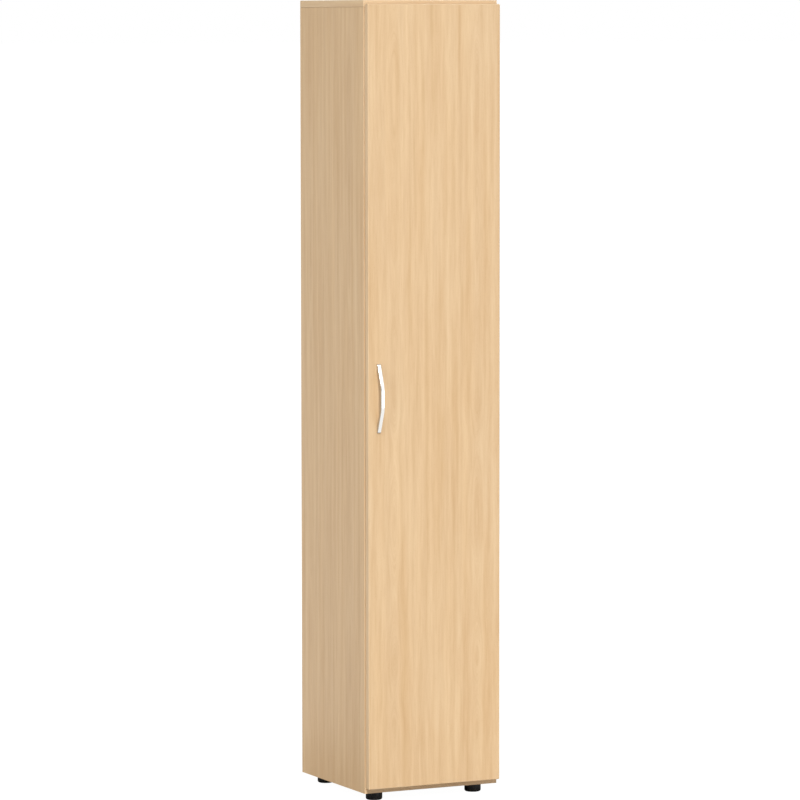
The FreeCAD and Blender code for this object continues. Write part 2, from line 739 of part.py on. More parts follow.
def door_panel():
    """Door board, bored for the hinge cups, their screws and the handle's screws."""
    inside = DOOR_RIGHT_X - DOOR_BAND
    core = door_slab().common(
        box(-inside, inside, DOOR_FRONT_Y, DOOR_BACK_Y, DOOR_LOW_Z + DOOR_BAND, DOOR_HIGH_Z - DOOR_BAND)
    )
    way = drilled(HANDLE_SCREW_RADIUS + HANDLE_HOLE_PLAY, DOOR_THICKNESS)
    cuts = [placed(way, where) for where in handle_screw_frames()]
    pilot = drilled(CUP_SCREW_RADIUS, CUP_FLANGE + CUP_SCREW_BITE)
    for z in hinge_heights():
        floor = DOOR_BACK_Y - CUP_DEPTH - CUP_PLAY
        cuts.append(rod(CUP_RADIUS + CUP_PLAY, V(CUP_X, DOOR_BACK_Y + OVERRUN, z), V(CUP_X, floor, z)))
        cuts += [placed(pilot, where) for where in cup_screw_frames(z)]
    return core.cut(cuts)


def door_handle():
    """Bow handle: a straight grip, a sloping leg at each end, and threaded feet that stand on the door."""
    outer, grip = HANDLE_LENGTH / 2, HANDLE_GRIP / 2
    inner = outer - HANDLE_FOOT
    under = HANDLE_PROJECTION - HANDLE_BAR

    def on_flank(edge):
        middle = edge.CenterOfMass
        on_side = near(abs(middle.x - HANDLE_X), HANDLE_WIDTH / 2)
        return on_side and not near(middle.y, DOOR_FRONT_Y)

    above = [(0, inner), (0, outer), (HANDLE_END, outer), (HANDLE_PROJECTION, grip)]
    below = [(height, -rise) for height, rise in reversed(above)]
    outline = [(under, grip)] + above + below + [(under, -grip), (under, grip)]
    x = HANDLE_X - HANDLE_WIDTH / 2
    corners = [V(x, DOOR_FRONT_Y - height, HANDLE_Z + rise) for height, rise in outline]
    bow = Part.Face(Part.makePolygon(corners)).extrude(V(HANDLE_WIDTH, 0, 0))
    bow = rounded(bow, HANDLE_BEND_ROUND, lambda e: near(abs(e.CenterOfMass.z - HANDLE_Z), grip))
    bow = rounded(bow, HANDLE_END_ROUND, lambda e: near(e.CenterOfMass.y, DOOR_FRONT_Y - HANDLE_END))
    bow = rounded(bow, HANDLE_ROUND, on_flank)
    thread = drilled(HANDLE_SCREW_RADIUS, DOOR_THICKNESS + HANDLE_SCREW_BITE)
    return bow.cut([placed(thread, where) for where in handle_screw_frames()])


def door_buffers():
    """Soft dots on the back of the door, which meet the left side panel."""
    x = SIDE_THICKNESS / 2 - RIGHT_X
    heights = (DOOR_LOW_Z + BUFFER_END_DISTANCE, DOOR_HIGH_Z - BUFFER_END_DISTANCE)
    tip = FRONT_Y - BUFFER_PLAY
    dots = [rod(BUFFER_RADIUS, V(x, DOOR_BACK_Y, z), V(x, tip, z)) for z in heights]
    return [rounded(d, BUFFER_ROUND, lambda e: near(e.CenterOfMass.y, tip)) for d in dots]


# Hinges


def plate_screw_frames():
    """Frames of the screws of all hinge plates, seated on the plates' faces."""
    half = PLATE_SCREW_SPACING / 2
    return [
        frame(V(PLATE_X, FRONT_Y + PLATE_SETBACK, z + end * half), V(-1, 0, 0), V(0, 0, 1))
        for z in hinge_heights()
        for end in (-1, 1)
    ]


def arm_screw_frame(z):
    """Frame of the screw that holds an arm on its plate, seated on the arm."""
    return frame(V(PLATE_X - ARM_THICKNESS, FRONT_Y + ARM_SCREW_SETBACK, z), V(-1, 0, 0), V(0, 0, 1))


def cup_screw_frames(z):
    """Frames of the two screws of one cup, seated on its flange."""
    x, half = CUP_X - CUP_SCREW_OFFSET, CUP_SCREW_SPACING / 2
    return [
        frame(V(x, DOOR_BACK_Y + CUP_FLANGE, z + end * half), V(0, 1, 0), V(0, 0, 1)) for end in (-1, 1)
    ]


def hinge_plate(z):
    """Cross-shaped plate on the side panel: upright wings for its screws, a tongue for the arm."""
    tongue_half, wing_half = PLATE_TONGUE_HEIGHT / 2, PLATE_WING_HEIGHT / 2
    start, end = FRONT_Y + PLATE_TONGUE_START, FRONT_Y + ARM_LENGTH
    middle, wide = FRONT_Y + PLATE_SETBACK, PLATE_WING_WIDTH / 2
    tongue = box(PLATE_X, INNER_X, start, end, z - tongue_half, z + tongue_half)
    wings = box(PLATE_X, INNER_X, middle - wide, middle + wide, z - wing_half, z + wing_half)
    plate = joined([tongue, wings])
    plate = rounded(plate, PLATE_ROUND, lambda e: near(e.Length, PLATE_THICKNESS))
    hole = drilled(PLATE_SCREW_RADIUS, PLATE_THICKNESS)
    cuts = [placed(hole, where) for where in plate_screw_frames()]
    thread = drilled(ARM_SCREW_RADIUS, ARM_THICKNESS + PLATE_THICKNESS)
    return plate.cut(cuts + [placed(thread, arm_screw_frame(z))])


def hinge_arm(z):
    """Gooseneck arm: an eye round the pin, a neck out of the cup and a straight on the plate."""
    neck_x = INNER_X - ARM_NECK_DISTANCE
    path = [
        V(PIN_X, PIN_Y, 0),
        V(neck_x, PIN_Y, 0),
        V(neck_x, FRONT_Y + ARM_RISE, 0),
        V(ARM_BACK_X, FRONT_Y + ARM_RISE + ARM_SLOPE, 0),
        V(ARM_BACK_X, FRONT_Y + ARM_LENGTH, 0),
    ]
    low, high = z - ARM_HEIGHT / 2, z + ARM_HEIGHT / 2
    strip = bent_strip(path, ARM_THICKNESS, low, high)
    eye = rod(ARM_EYE_RADIUS, V(PIN_X, PIN_Y, low), V(PIN_X, PIN_Y, high))
    bore = rod(PIN_RADIUS + PIN_PLAY, V(PIN_X, PIN_Y, low - OVERRUN), V(PIN_X, PIN_Y, high + OVERRUN))
    hole = drilled(ARM_SCREW_RADIUS, ARM_THICKNESS)
    return joined([strip, eye]).cut([bore, placed(hole, arm_screw_frame(z))])


def ear_inside():
    """Height of the inner face of a pin ear above the middle of its hinge."""
    return ARM_HEIGHT / 2 + EAR_PLAY


def hinge_cup(z):
    """Cup let into the door, with a flange for its screws and two ears that hold the pin."""
    floor = DOOR_BACK_Y - CUP_DEPTH
    inside = CUP_RADIUS - CUP_WALL
    pot = rod(CUP_RADIUS, V(CUP_X, floor, z), V(CUP_X, DOOR_BACK_Y, z))
    hollow = rod(inside, V(CUP_X, floor + CUP_WALL, z), V(CUP_X, DOOR_BACK_Y + OVERRUN, z))
    left = CUP_X - CUP_FLANGE_REACH
    half = CUP_FLANGE_HEIGHT / 2
    flange = box(left, CUP_X, DOOR_BACK_Y, DOOR_BACK_Y + CUP_FLANGE, z - half, z + half)
    flange = rounded(flange, CUP_FLANGE_ROUND, lambda e: near(e.Length, CUP_FLANGE))
    mouth = rod(inside, V(CUP_X, DOOR_BACK_Y - OVERRUN, z), V(CUP_X, DOOR_BACK_Y + CUP_FLANGE + OVERRUN, z))
    shell = joined([pot.cut(hollow), flange.cut(mouth)])
    room = rod(inside + CUP_WALL / 2, V(CUP_X, floor, z), V(CUP_X, DOOR_BACK_Y, z))
    ears = []
    for end in (-1, 1):
        near_z, far_z = z + end * ear_inside(), z + end * (ear_inside() + EAR_THICKNESS)
        head = rod(EAR_RADIUS, V(PIN_X, PIN_Y, near_z), V(PIN_X, PIN_Y, far_z))
        post = box(PIN_X - EAR_RADIUS, PIN_X + EAR_RADIUS, floor, PIN_Y, near_z, far_z)
        ears.append(joined([head, post]).common(room))
    reach = ear_inside() + EAR_THICKNESS + OVERRUN
    bore = rod(PIN_RADIUS + FITTING_PLAY, V(PIN_X, PIN_Y, z - reach), V(PIN_X, PIN_Y, z + reach))
    hole = drilled(CUP_SCREW_RADIUS, CUP_FLANGE)
    return joined([shell] + ears).cut([bore] + [placed(hole, where) for where in cup_screw_frames(z)])


def hinge_pins():
    """Pins that the arms turn on, one in each cup."""
    reach = ear_inside() + EAR_THICKNESS
    return [rod(PIN_RADIUS, V(PIN_X, PIN_Y, z - reach), V(PIN_X, PIN_Y, z + reach)) for z in hinge_heights()]


def hinge_springs():
    """Bowed leaf springs on the floors of the cups, which press the closed door home."""
    floor = DOOR_BACK_Y - CUP_DEPTH + CUP_WALL + SPRING_THICKNESS / 2
    springs = []
    for z in hinge_heights():
        path = [
            V(CUP_X - SPRING_SPAN / 2, floor, 0),
            V(CUP_X - SPRING_SPAN / 4, floor + SPRING_CROWN, 0),
            V(CUP_X + SPRING_SPAN / 4, floor + SPRING_CROWN, 0),
            V(CUP_X + SPRING_SPAN / 2, floor, 0),
        ]
        springs.append(bent_strip(path, SPRING_THICKNESS, z - SPRING_HEIGHT / 2, z + SPRING_HEIGHT / 2))
    return springs


def hinge_plate_screws():
    length = PLATE_THICKNESS + PLATE_SCREW_BITE
    screw = pan_screw(PLATE_SCREW_HEAD_RADIUS, PLATE_SCREW_HEAD_HEIGHT, PLATE_SCREW_RADIUS, length)
    return [placed(screw, where) for where in plate_screw_frames()]


def hinge_arm_screws():
    length = ARM_THICKNESS + PLATE_THICKNESS
    screw = pan_screw(ARM_SCREW_HEAD_RADIUS, ARM_SCREW_HEAD_HEIGHT, ARM_SCREW_RADIUS, length)
    return [placed(screw, arm_screw_frame(z)) for z in hinge_heights()]


def hinge_cup_screws():
    length = CUP_FLANGE + CUP_SCREW_BITE
    screw = pan_screw(CUP_SCREW_HEAD_RADIUS, CUP_SCREW_HEAD_HEIGHT, CUP_SCREW_RADIUS, length)
    return [placed(screw, where) for z in hinge_heights() for where in cup_screw_frames(z)]


# Levelling feet


def foot_sleeves():
    """Threaded sleeves pressed into the bottom board, flange below."""
    sleeves = []
    for _, x, y in foot_places():
        barrel = rod(SLEEVE_RADIUS, V(x, y, BOTTOM_Z), V(x, y, SLEEVE_HIGH_Z))
        flange = rod(SLEEVE_FLANGE_RADIUS, V(x, y, SLEEVE_LOW_Z), V(x, y, BOTTOM_Z))
        bore = rod(STEM_RADIUS + STEM_PLAY, V(x, y, 0), V(x, y, SLEEVE_HIGH_Z + OVERRUN))
        sleeves.append(joined([barrel, flange]).cut(bore))
    return sleeves


def foot_base(x, y):
    """Round glide with a socket in which the stem turns."""
    puck = rod(FOOT_RADIUS, V(x, y, 0), V(x, y, FOOT_TOP_Z))
    puck = rounded(puck, FOOT_BOTTOM_ROUND, lambda e: near(e.CenterOfMass.z, 0))
    puck = rounded(puck, FOOT_TOP_ROUND, lambda e: near(e.CenterOfMass.z, FOOT_TOP_Z))
    deep = FOOT_TOP_Z - STEM_SOCKET_DEPTH
    socket = rod(STEM_RADIUS + STEM_PLAY, V(x, y, deep), V(x, y, FOOT_TOP_Z + OVERRUN))
    return puck.cut(socket)


def foot_stem(x, y):
    """Threaded stem with a hexagon socket in its top, reached through the bottom board."""
    low, high = FOOT_TOP_Z - STEM_SOCKET_DEPTH, SLEEVE_HIGH_Z - STEM_TOP_DROP
    stem = rod(STEM_RADIUS, V(x, y, low), V(x, y, high))
    corners = [
        V(x + STEM_KEY_RADIUS * math.cos(a), y + STEM_KEY_RADIUS * math.sin(a), high - STEM_KEY_DEPTH)
        for a in (math.tau * i / 6 for i in range(7))
    ]
    key = Part.Face(Part.makePolygon(corners)).extrude(V(0, 0, STEM_KEY_DEPTH + OVERRUN))
    return stem.cut(key)


def all_pieces():
    """Every node's name with its solid, or its list of like solids."""
    loose_band, loose_board = loose_shelf_split()
    pieces = {
        "side_panel_left": side_panel("left", -1),
        "side_panel_right": side_panel("right", 1),
        "side_edge_band_left": carcass_band(side_slab(-1)),
        "side_edge_band_right": carcass_band(side_slab(1)),
        "top_panel": top_panel(),
        "bottom_panel": bottom_panel(),
        "bottom_edge_band": carcass_band(bottom_slab()),
        "back_panel": back_panel(),
        "back_panel_screws": back_panel_screws(),
        "fixed_shelf": fixed_shelf(),
        "fixed_shelf_edge_band": carcass_band(fixed_slab()),
        "loose_shelf": loose_board,
        "loose_shelf_edge_band": loose_band,
        "shelf_pins": shelf_pins(),
        "cam_housings": cam_housings(),
        "cam_bolts": cam_bolts(),
        "wood_dowels": wood_dowels(),
        "hook_rail": hook_rail(),
        "hook_rail_screws": hook_rail_screws(),
        "door_panel": door_panel(),
        "door_handle": door_handle(),
        "handle_screws": handle_screws(),
        "door_buffers": door_buffers(),
        "hinge_pins": hinge_pins(),
        "hinge_springs": hinge_springs(),
        "hinge_plate_screws": hinge_plate_screws(),
        "hinge_arm_screws": hinge_arm_screws(),
        "hinge_cup_screws": hinge_cup_screws(),
        "foot_sleeves": foot_sleeves(),
    }
    pieces.update(top_bands())
    pieces.update(door_bands())
    pieces.update(hooks())
    for number, z in enumerate(hinge_heights(), start=1):
        pieces[f"hinge_plate_{number}"] = hinge_plate(z)
        pieces[f"hinge_arm_{number}"] = hinge_arm(z)
        pieces[f"hinge_cup_{number}"] = hinge_cup(z)
    for name, x, y in foot_places():
        pieces["foot_base_" + name] = foot_base(x, y)
        pieces["foot_stem_" + name] = foot_stem(x, y)
    return pieces


def main():
    os.makedirs("parts", exist_ok=True)
    for name, shape in all_pieces().items():
        solids = [s for item in shape for s in item.Solids] if isinstance(shape, list) else shape.Solids
        whole = solids[0] if len(solids) == 1 else Part.makeCompound(solids)
        whole.exportStep(os.path.join("parts", name + ".step"))


if __name__ == "__main__":
    main()
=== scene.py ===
"""Looks of a tall single-door broom cupboard in beech-decor board, laid out as an add-on.

Metres, +X to the right, +Y to the back, +Z up. The frame holds the cupboard's solids. The handle, the
glides, the threaded stems and the broom hooks are modelled here, and every other piece keeps its
solid and gets its finish.
"""

import math

import bmesh
import bpy
from bpy.props import FloatProperty, FloatVectorProperty, IntProperty, PointerProperty
from mathutils import Euler, Matrix, Vector


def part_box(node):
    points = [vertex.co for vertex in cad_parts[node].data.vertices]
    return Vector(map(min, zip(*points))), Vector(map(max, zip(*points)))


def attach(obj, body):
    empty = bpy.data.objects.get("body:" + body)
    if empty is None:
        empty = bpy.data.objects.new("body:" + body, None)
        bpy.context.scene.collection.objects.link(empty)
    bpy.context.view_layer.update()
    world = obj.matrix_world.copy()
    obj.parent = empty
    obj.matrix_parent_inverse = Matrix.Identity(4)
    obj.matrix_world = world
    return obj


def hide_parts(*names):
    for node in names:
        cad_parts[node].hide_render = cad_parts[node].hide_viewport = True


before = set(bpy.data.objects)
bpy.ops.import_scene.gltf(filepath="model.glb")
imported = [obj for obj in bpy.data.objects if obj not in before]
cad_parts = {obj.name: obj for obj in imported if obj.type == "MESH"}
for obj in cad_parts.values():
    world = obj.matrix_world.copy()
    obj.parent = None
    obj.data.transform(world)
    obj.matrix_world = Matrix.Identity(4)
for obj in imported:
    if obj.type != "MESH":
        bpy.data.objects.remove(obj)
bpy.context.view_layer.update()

bl_info = {
    "name": "Broom Cupboard",
    "version": (1, 0, 0),
    "blender": (4, 5, 0),
    "location": "3D View > Sidebar > Cupboard",
    "description": "Finishes and fittings of a single-door broom cupboard",
    "category": "Object",
}

AXES = "XYZ"
FEET = ("front_left", "front_right", "rear_left", "rear_right")
HOOKS = ("left", "middle", "right")
HINGES = ("1", "2", "3", "4")

# Each board's grain axis and the axis that its faces look along
BOARDS = {
    "side_panel_left": ("Z", "X"),
    "side_panel_right": ("Z", "X"),
    "door_panel": ("Z", "Y"),
    "back_panel": ("Z", "Y"),
    "top_panel": ("X", "Z"),
    "bottom_panel": ("X", "Z"),
    "fixed_shelf": ("X", "Z"),
    "loose_shelf": ("X", "Z"),
}

# Edge bands by the axis that they run along
BANDS = {
    "Z": ("side_edge_band_left", "side_edge_band_right", "door_edge_band_left", "door_edge_band_right"),
    "X": (
        "top_edge_band_front",
        "bottom_edge_band",
        "fixed_shelf_edge_band",
        "loose_shelf_edge_band",
        "door_edge_band_bottom",
        "door_edge_band_top",
    ),
    "Y": ("top_edge_band_left", "top_edge_band_right"),
}


def size_of(node):
    """Width, depth and height of one of the frame's nodes."""
    low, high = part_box(node)
    return high - low


def length_setting(name, description, default):
    """A length that the user can set, in metres."""
    return FloatProperty(name=name, description=description, default=default, unit="LENGTH", precision=4)


def share_setting(name, description, default):
    """A share from 0 to 1 that the user can set."""
    return FloatProperty(
        name=name, description=description, default=default, min=0.0, max=1.0, subtype="FACTOR"
    )


def count_setting(name, description, default):
    """How many marks lie on a metre."""
    return FloatProperty(name=name, description=description, default=default, min=0.0)


def angle_setting(name, description, degrees):
    """An angle that the user can set, given in degrees."""
    return FloatProperty(
        name=name, description=description, default=math.radians(degrees), subtype="ANGLE"
    )


def power_setting(name, description, default):
    """The power of a lamp in watts."""
    return FloatProperty(name=name, description=description, default=default, min=0.0, subtype="POWER")


def colour_setting(name, description, default):
    """A linear colour that the user can set."""
    return FloatVectorProperty(
        name=name, description=description, default=default, size=3, min=0.0, max=1.0, subtype="COLOR"
    )


class BoardSettings(bpy.types.PropertyGroup):
    """Print and gloss of the beech-decor boards."""

    pale: colour_setting("Pale beech", "The lightest streaks in the print", (0.8200, 0.6100, 0.3760))
    deep: colour_setting("Deep beech", "The deepest streaks in the print", (0.6180, 0.3930, 0.2000))
    edge_pale: colour_setting("Pale edging", "Lightest streaks in the edge bands", (0.861, 0.665, 0.432))
    edge_deep: colour_setting("Deep edging", "Deepest streaks in the edge bands", (0.649, 0.428, 0.230))
    honey: colour_setting("Honey tint", "Tint of the print's broad warm bands", (0.985, 0.958, 0.910))
    chip_pale: colour_setting("Pale chips", "Light chips in the core of the board", (0.50, 0.36, 0.21))
    chip_dark: colour_setting("Dark chips", "Dark chips in the core of the board", (0.24, 0.15, 0.08))
    bands: count_setting("Warm bands", "Broad warm bands on a metre across the grain", 14.0)
    streaks: count_setting("Streaks", "Long streaks on a metre across the grain", 60.0)
    dashes: count_setting("Dashes", "Short streaks on a metre across the grain", 110.0)
    fibres: count_setting("Fibres", "Single fibres on a metre across the grain", 900.0)
    contrast: share_setting("Contrast", "How far the streaks leave the mean tone", 1.0)
    roughness: share_setting("Roughness", "Roughness of the satin melamine", 0.42)
    gloss: share_setting("Gloss", "Strength of the melamine's reflections", 0.35)


class HandleSettings(bpy.types.PropertyGroup):
    """Sizes and finish of the bow handle."""

    grip: length_setting("Grip", "Length of the straight grip between its two bends", 0.062)
    foot: length_setting("Foot", "Length of each flat end on the door", 0.021)
    bar: length_setting("Bar", "Thickness of the bar at its grip", 0.009)
    end: length_setting("End", "Height of the bar's ends above the door", 0.005)
    end_round: length_setting("End round", "Rounding where each leg turns down to the door", 0.006)
    bend_round: length_setting("Bend round", "Rounding of the bends between grip and legs", 0.050)
    edge_round: length_setting("Edge round", "Rounding of the bar's edges", 0.0012)
    steps: IntProperty(name="Steps", description="Facets round each bend", default=12, min=2)
    colour: colour_setting("Colour", "Satin metal of the bar's face", (0.93, 0.92, 0.89))
    # The flank colour is painted shade on the bar's sides, not a duller metal
    flank: colour_setting("Flank colour", "Duller metal of the bar's sides", (0.55, 0.55, 0.55))
    metallic: share_setting("Metallic", "Mirroring share of the satin finish", 0.95)
    roughness: share_setting("Roughness", "Roughness of the satin metal", 0.18)


class FootSettings(bpy.types.PropertyGroup):
    """Sizes and finishes of the levelling feet."""

    bottom_round: length_setting("Bottom round", "Rounding of the glide's lower rim", 0.005)
    top_round: length_setting("Top round", "Rounding of the glide's upper rim", 0.001)
    dish_radius: length_setting("Dish radius", "Radius of the hollow under the glide", 0.013)
    dish_depth: length_setting("Dish depth", "Depth of the hollow under the glide", 0.0012)
    socket_depth: length_setting("Socket depth", "Depth of the stem's socket in the glide", 0.009)
    socket_play: length_setting("Socket play", "Room between the stem and its socket", 0.00008)
    thread_pitch: length_setting("Thread pitch", "Rise of the thread in one turn", 0.0015)
    thread_depth: length_setting("Thread depth", "Depth of the thread's groove", 0.0008)
    key_radius: length_setting("Key radius", "Corner radius of the hexagon socket", 0.003)
    key_depth: length_setting("Key depth", "Depth of the hexagon socket", 0.005)
    steps: IntProperty(name="Steps", description="Facets round a glide", default=96, min=12)
    colour: colour_setting("Colour", "Moulded black plastic", (0.0075, 0.0073, 0.007))


class HookSettings(bpy.types.PropertyGroup):
    """Sizes and finish of the broom hooks."""

    thickness: length_setting("Thickness", "Thickness of the flat steel", 0.0025)
    bend: length_setting("Bend", "Inside radius of each bend", 0.004)
    tip_rise: length_setting("Tip rise", "Height of the tip above the underside of the hook", 0.01925)
    corner: length_setting("Corner", "Rounding of the ends of the strip", 0.006)
    edge_round: length_setting("Edge round", "Rounding of the strip's edges", 0.0005)
    colour: colour_setting("Colour", "Powder coat", (0.42, 0.43, 0.44))


class StudioSettings(bpy.types.PropertyGroup):
    """Camera, floor and light of the studio."""

    camera_place: FloatVectorProperty(
        name="Camera place",
        description="Where the camera stands",
        default=(-5.4110, -11.0225, 2.1011),
        size=3,
        subtype="TRANSLATION",
        unit="LENGTH",
    )
    camera_yaw: angle_setting("Camera yaw", "Turn of the camera to the right of +Y", 26.116)
    camera_pitch: angle_setting("Camera pitch", "Tilt of the camera below the horizon", 4.793)
    camera_roll: angle_setting("Camera roll", "Lean of the camera to its left", -0.057)
    lens: FloatProperty(
        name="Lens",
        description="Focal length on a 36 mm sensor",
        default=202.816,
        subtype="DISTANCE_CAMERA",
    )
    key_turn: angle_setting("Key turn", "How far the key light stands left of the front", 17.5)
    key_height: angle_setting("Key height", "How high the key light stands", 37.0)
    key_softness: angle_setting("Key softness", "Width of the key light in the sky", 9.0)
    key_strength: FloatProperty(
        name="Key strength", description="Even light from the front and above", default=2.35, min=0.0
    )
    left_power: power_setting("Left power", "Soft box to the left of the front", 25.0)
    card_power: power_setting("Card power", "Tall white card, front right, that the gloss mirrors", 65.0)
    rear_power: power_setting("Rear power", "Soft light behind and to the right", 210.0)
    ambient: share_setting("Ambient", "Brightness of the studio all round", 0.34)
    floor: colour_setting("Floor", "Pale floor", (0.66, 0.66, 0.66))


class CupboardSettings(bpy.types.PropertyGroup):
    """All the settings of the cupboard."""

    boards: PointerProperty(type=BoardSettings)
    handle: PointerProperty(type=HandleSettings)
    feet: PointerProperty(type=FootSettings)
    hooks: PointerProperty(type=HookSettings)
    studio: PointerProperty(type=StudioSettings)


# Shader graphs


class Wire:
    """One output of a shader node, with arithmetic that adds Math nodes."""

    def __init__(self, finish, socket):
        self.finish = finish
        self.socket = socket

    def math(self, operation, first, second=0.0):
        return self.finish.node("Math", {"operation": operation}, {0: first, 1: second})

    def __add__(self, other):
        return self.math("ADD", self, other)

    def __radd__(self, other):
        return self.math("ADD", other, self)

    def __sub__(self, other):
        return self.math("SUBTRACT", self, other)

    def __rsub__(self, other):
        return self.math("SUBTRACT", other, self)

    def __mul__(self, other):
        return self.math("MULTIPLY", self, other)

    def __abs__(self):
        return self.math("ABSOLUTE", self)


class Finish:
    """A material or a world in the making: nodes are added one by one and end in one shader."""

    def __init__(self, owner):
        owner.use_nodes = True
        self.owner = owner
        self.tree = owner.node_tree
        self.tree.nodes.clear()

    def node(self, kind, settings, sockets, out=0):
        """Adds a node: its settings first, then the values or links of its sockets."""
        made = self.tree.nodes.new("ShaderNode" + kind)
        for key, value in settings.items():
            setattr(made, key, value)
        for key, value in sockets.items():
            if isinstance(value, Wire):
                self.tree.links.new(value.socket, made.inputs[key])
            else:
                made.inputs[key].default_value = value
        return Wire(self, made.outputs[out]) if made.outputs else None

    def place(self):
        """Where a point lies on the piece."""
        return self.node("TexCoord", {}, {}, "Object")

    def along(self, vector, axis):
        """One coordinate of a vector."""
        return self.node("SeparateXYZ", {}, {"Vector": vector}, axis)

    def scaled(self, vector, scale, shift=(0.0, 0.0, 0.0)):
        """A vector stretched axis by axis, then shifted."""
        return self.node("Mapping", {}, {"Vector": vector, "Scale": scale, "Location": shift})

    def noise(self, vector, detail=2.0):
        """Soft noise about zero, one blotch to each unit of the vector."""
        return self.node("TexNoise", {}, {"Vector": vector, "Scale": 1.0, "Detail": detail}) - 0.5

    def step(self, value, low, high):
        """A smooth step from 0 at low to 1 at high."""
        limits = {"Value": value, "From Min": low, "From Max": high}
        return self.node("MapRange", {"interpolation_type": "SMOOTHSTEP"}, limits)

    def mixed(self, share, first, second, mode="MIX"):
        """Two colours mixed by a share."""
        settings = {"data_type": "RGBA", "blend_type": mode}
        return self.node("Mix", settings, {0: share, 6: first, 7: second}, 2)

    def bump(self, height, strength, depth):
        """A normal that follows a height."""
        return self.node("Bump", {}, {"Height": height, "Strength": strength, "Distance": depth})

    def made(self, sockets):
        """Ends the graph in one Principled shader."""
        shader = self.node("BsdfPrincipled", {}, sockets)
        self.node("OutputMaterial", {}, {"Surface": shader})
        return self.owner


def new_finish(name):
    """Starts a material."""
    return Finish(bpy.data.materials.new(name))


def rgba(colour):
    """A colour with full alpha, as sockets take it."""
    return (*colour, 1.0)


def grained(axis, across, along):
    """Scale of a pattern with so many marks a metre across and along a grain axis."""
    return [along if name == axis else across for name in AXES]


# Board finish

SEED_STEP = Vector((7.13, 3.71, 5.29))
WAVER = 0.006
WAVER_ACROSS = 5.0
WAVER_ALONG = 1.6
HEART_SWING = 0.05
HEART_REACH = 0.124
HEART_DEPTH = 0.10
HEART_ALONG = 2.6
DRIFT = 25.0
BAND_RUN = 1.5
STREAK_RUN = 1.6
DASH_RUN = 8.0
DASH_SHARE = 0.5
FIBRE_RUN = 20.0
FIBRE_SHARE = 0.5
HONEY_GAIN = 2.0
FLECKS_ACROSS = 420.0
FLECKS_ALONG = 95.0
FLECK_SIZES = (0.10, 0.24)
FLECK_SHARE = 0.22
CHIPS = 330.0
CUT_TURNS = (0.4, 0.6)
CUT_ROUGHNESS = 0.4
DASH_ROUGHNESS = 0.15
PORE_STRENGTH = 0.05
PORE_DEPTH = 0.0002


def wavering_place(finish, grain, shift):
    """The place on a board, swung a little across the grain as a trunk's fibres are."""
    place = finish.place()
    sway = finish.scaled(place, grained(grain, WAVER_ACROSS, WAVER_ALONG), shift)
    swing = finish.node("TexNoise", {}, {"Vector": sway, "Scale": 1.0, "Detail": 1.0}, "Color")
    amount = (WAVER, WAVER, WAVER)
    return finish.node("VectorMath", {"operation": "MULTIPLY_ADD"}, {0: swing, 1: amount, 2: place})


def growth_rings(finish, side, run, seed):
    """Distance from the heart of the trunk, which bends the streaks into arches over two hearts."""
    flank = abs(side - math.sin(seed) * HEART_SWING) - HEART_REACH
    slope = finish.node("CombineXYZ", {}, {"X": run * HEART_ALONG, "Y": float(seed)})
    depth = finish.noise(slope, 1.0) * HEART_DEPTH
    square = flank * flank + depth * depth
    return square.math("SQRT", square)


def chips(finish, look):
    """Colour of the pressed chips where a board is cut."""
    grain = finish.scaled(finish.place(), (CHIPS, CHIPS, CHIPS))
    cell = finish.node("TexVoronoi", {}, {"Vector": grain, "Scale": 1.0}, "Color")
    pick = finish.along(cell, "X")
    return finish.mixed(pick, rgba(look.chip_dark), rgba(look.chip_pale))


def pore_flecks(finish, place, grain, shift):
    """Small dark spindles along the grain, as the rays of beech show, from 0 to 1."""
    spindle = finish.scaled(place, grained(grain, FLECKS_ACROSS, FLECKS_ALONG), shift)
    distance = finish.node("TexVoronoi", {}, {"Vector": spindle, "Scale": 1.0}, "Distance")
    return 1.0 - finish.step(distance, *FLECK_SIZES)


def beech(name, grain, seed, face=None):
    """Beech decor printed along the grain, for an edge band or, with a face axis, for a board of chips."""
    look = bpy.context.scene.cupboard.boards
    finish = new_finish(name)
    shift = SEED_STEP * seed
    place = wavering_place(finish, grain, shift)
    run = finish.along(place, grain)
    side = sum(finish.along(place, axis) for axis in AXES if axis not in (grain, face))
    rings = growth_rings(finish, side, run, seed)

    def streaks(count, run_count, detail):
        spot = {"X": rings * count + shift.x, "Y": run * run_count + shift.y, "Z": side * DRIFT + shift.z}
        return finish.noise(finish.node("CombineXYZ", {}, spot), detail)

    dash = streaks(look.dashes, DASH_RUN, 2.0)
    fibre = streaks(look.fibres, FIBRE_RUN, 2.0)
    fleck = pore_flecks(finish, place, grain, shift)
    swing = streaks(look.streaks, STREAK_RUN, 2.0) + dash * DASH_SHARE + fibre * FIBRE_SHARE
    tone = 0.5 + swing * look.contrast - fleck * FLECK_SHARE
    deep, pale = (look.deep, look.pale) if face else (look.edge_deep, look.edge_pale)
    colour = finish.mixed(tone, rgba(deep), rgba(pale))
    warmth = 0.5 + streaks(look.bands, BAND_RUN, 1.0) * HONEY_GAIN
    colour = finish.mixed(warmth, colour, rgba(look.honey), "MULTIPLY")
    roughness = look.roughness + dash * DASH_ROUGHNESS
    if face:
        facing = abs(finish.along(finish.node("TexCoord", {}, {}, "Normal"), face))
        cut = 1.0 - finish.step(facing, *CUT_TURNS)
        colour = finish.mixed(cut, colour, chips(finish, look))
        roughness = roughness + cut * CUT_ROUGHNESS
    return finish.made(
        {
            "Base Color": colour,
            "Roughness": roughness,
            "Normal": finish.bump(fibre * FIBRE_SHARE - fleck, PORE_STRENGTH, PORE_DEPTH),
            "Specular IOR Level": look.gloss,
        }
    )


# Metal finishes

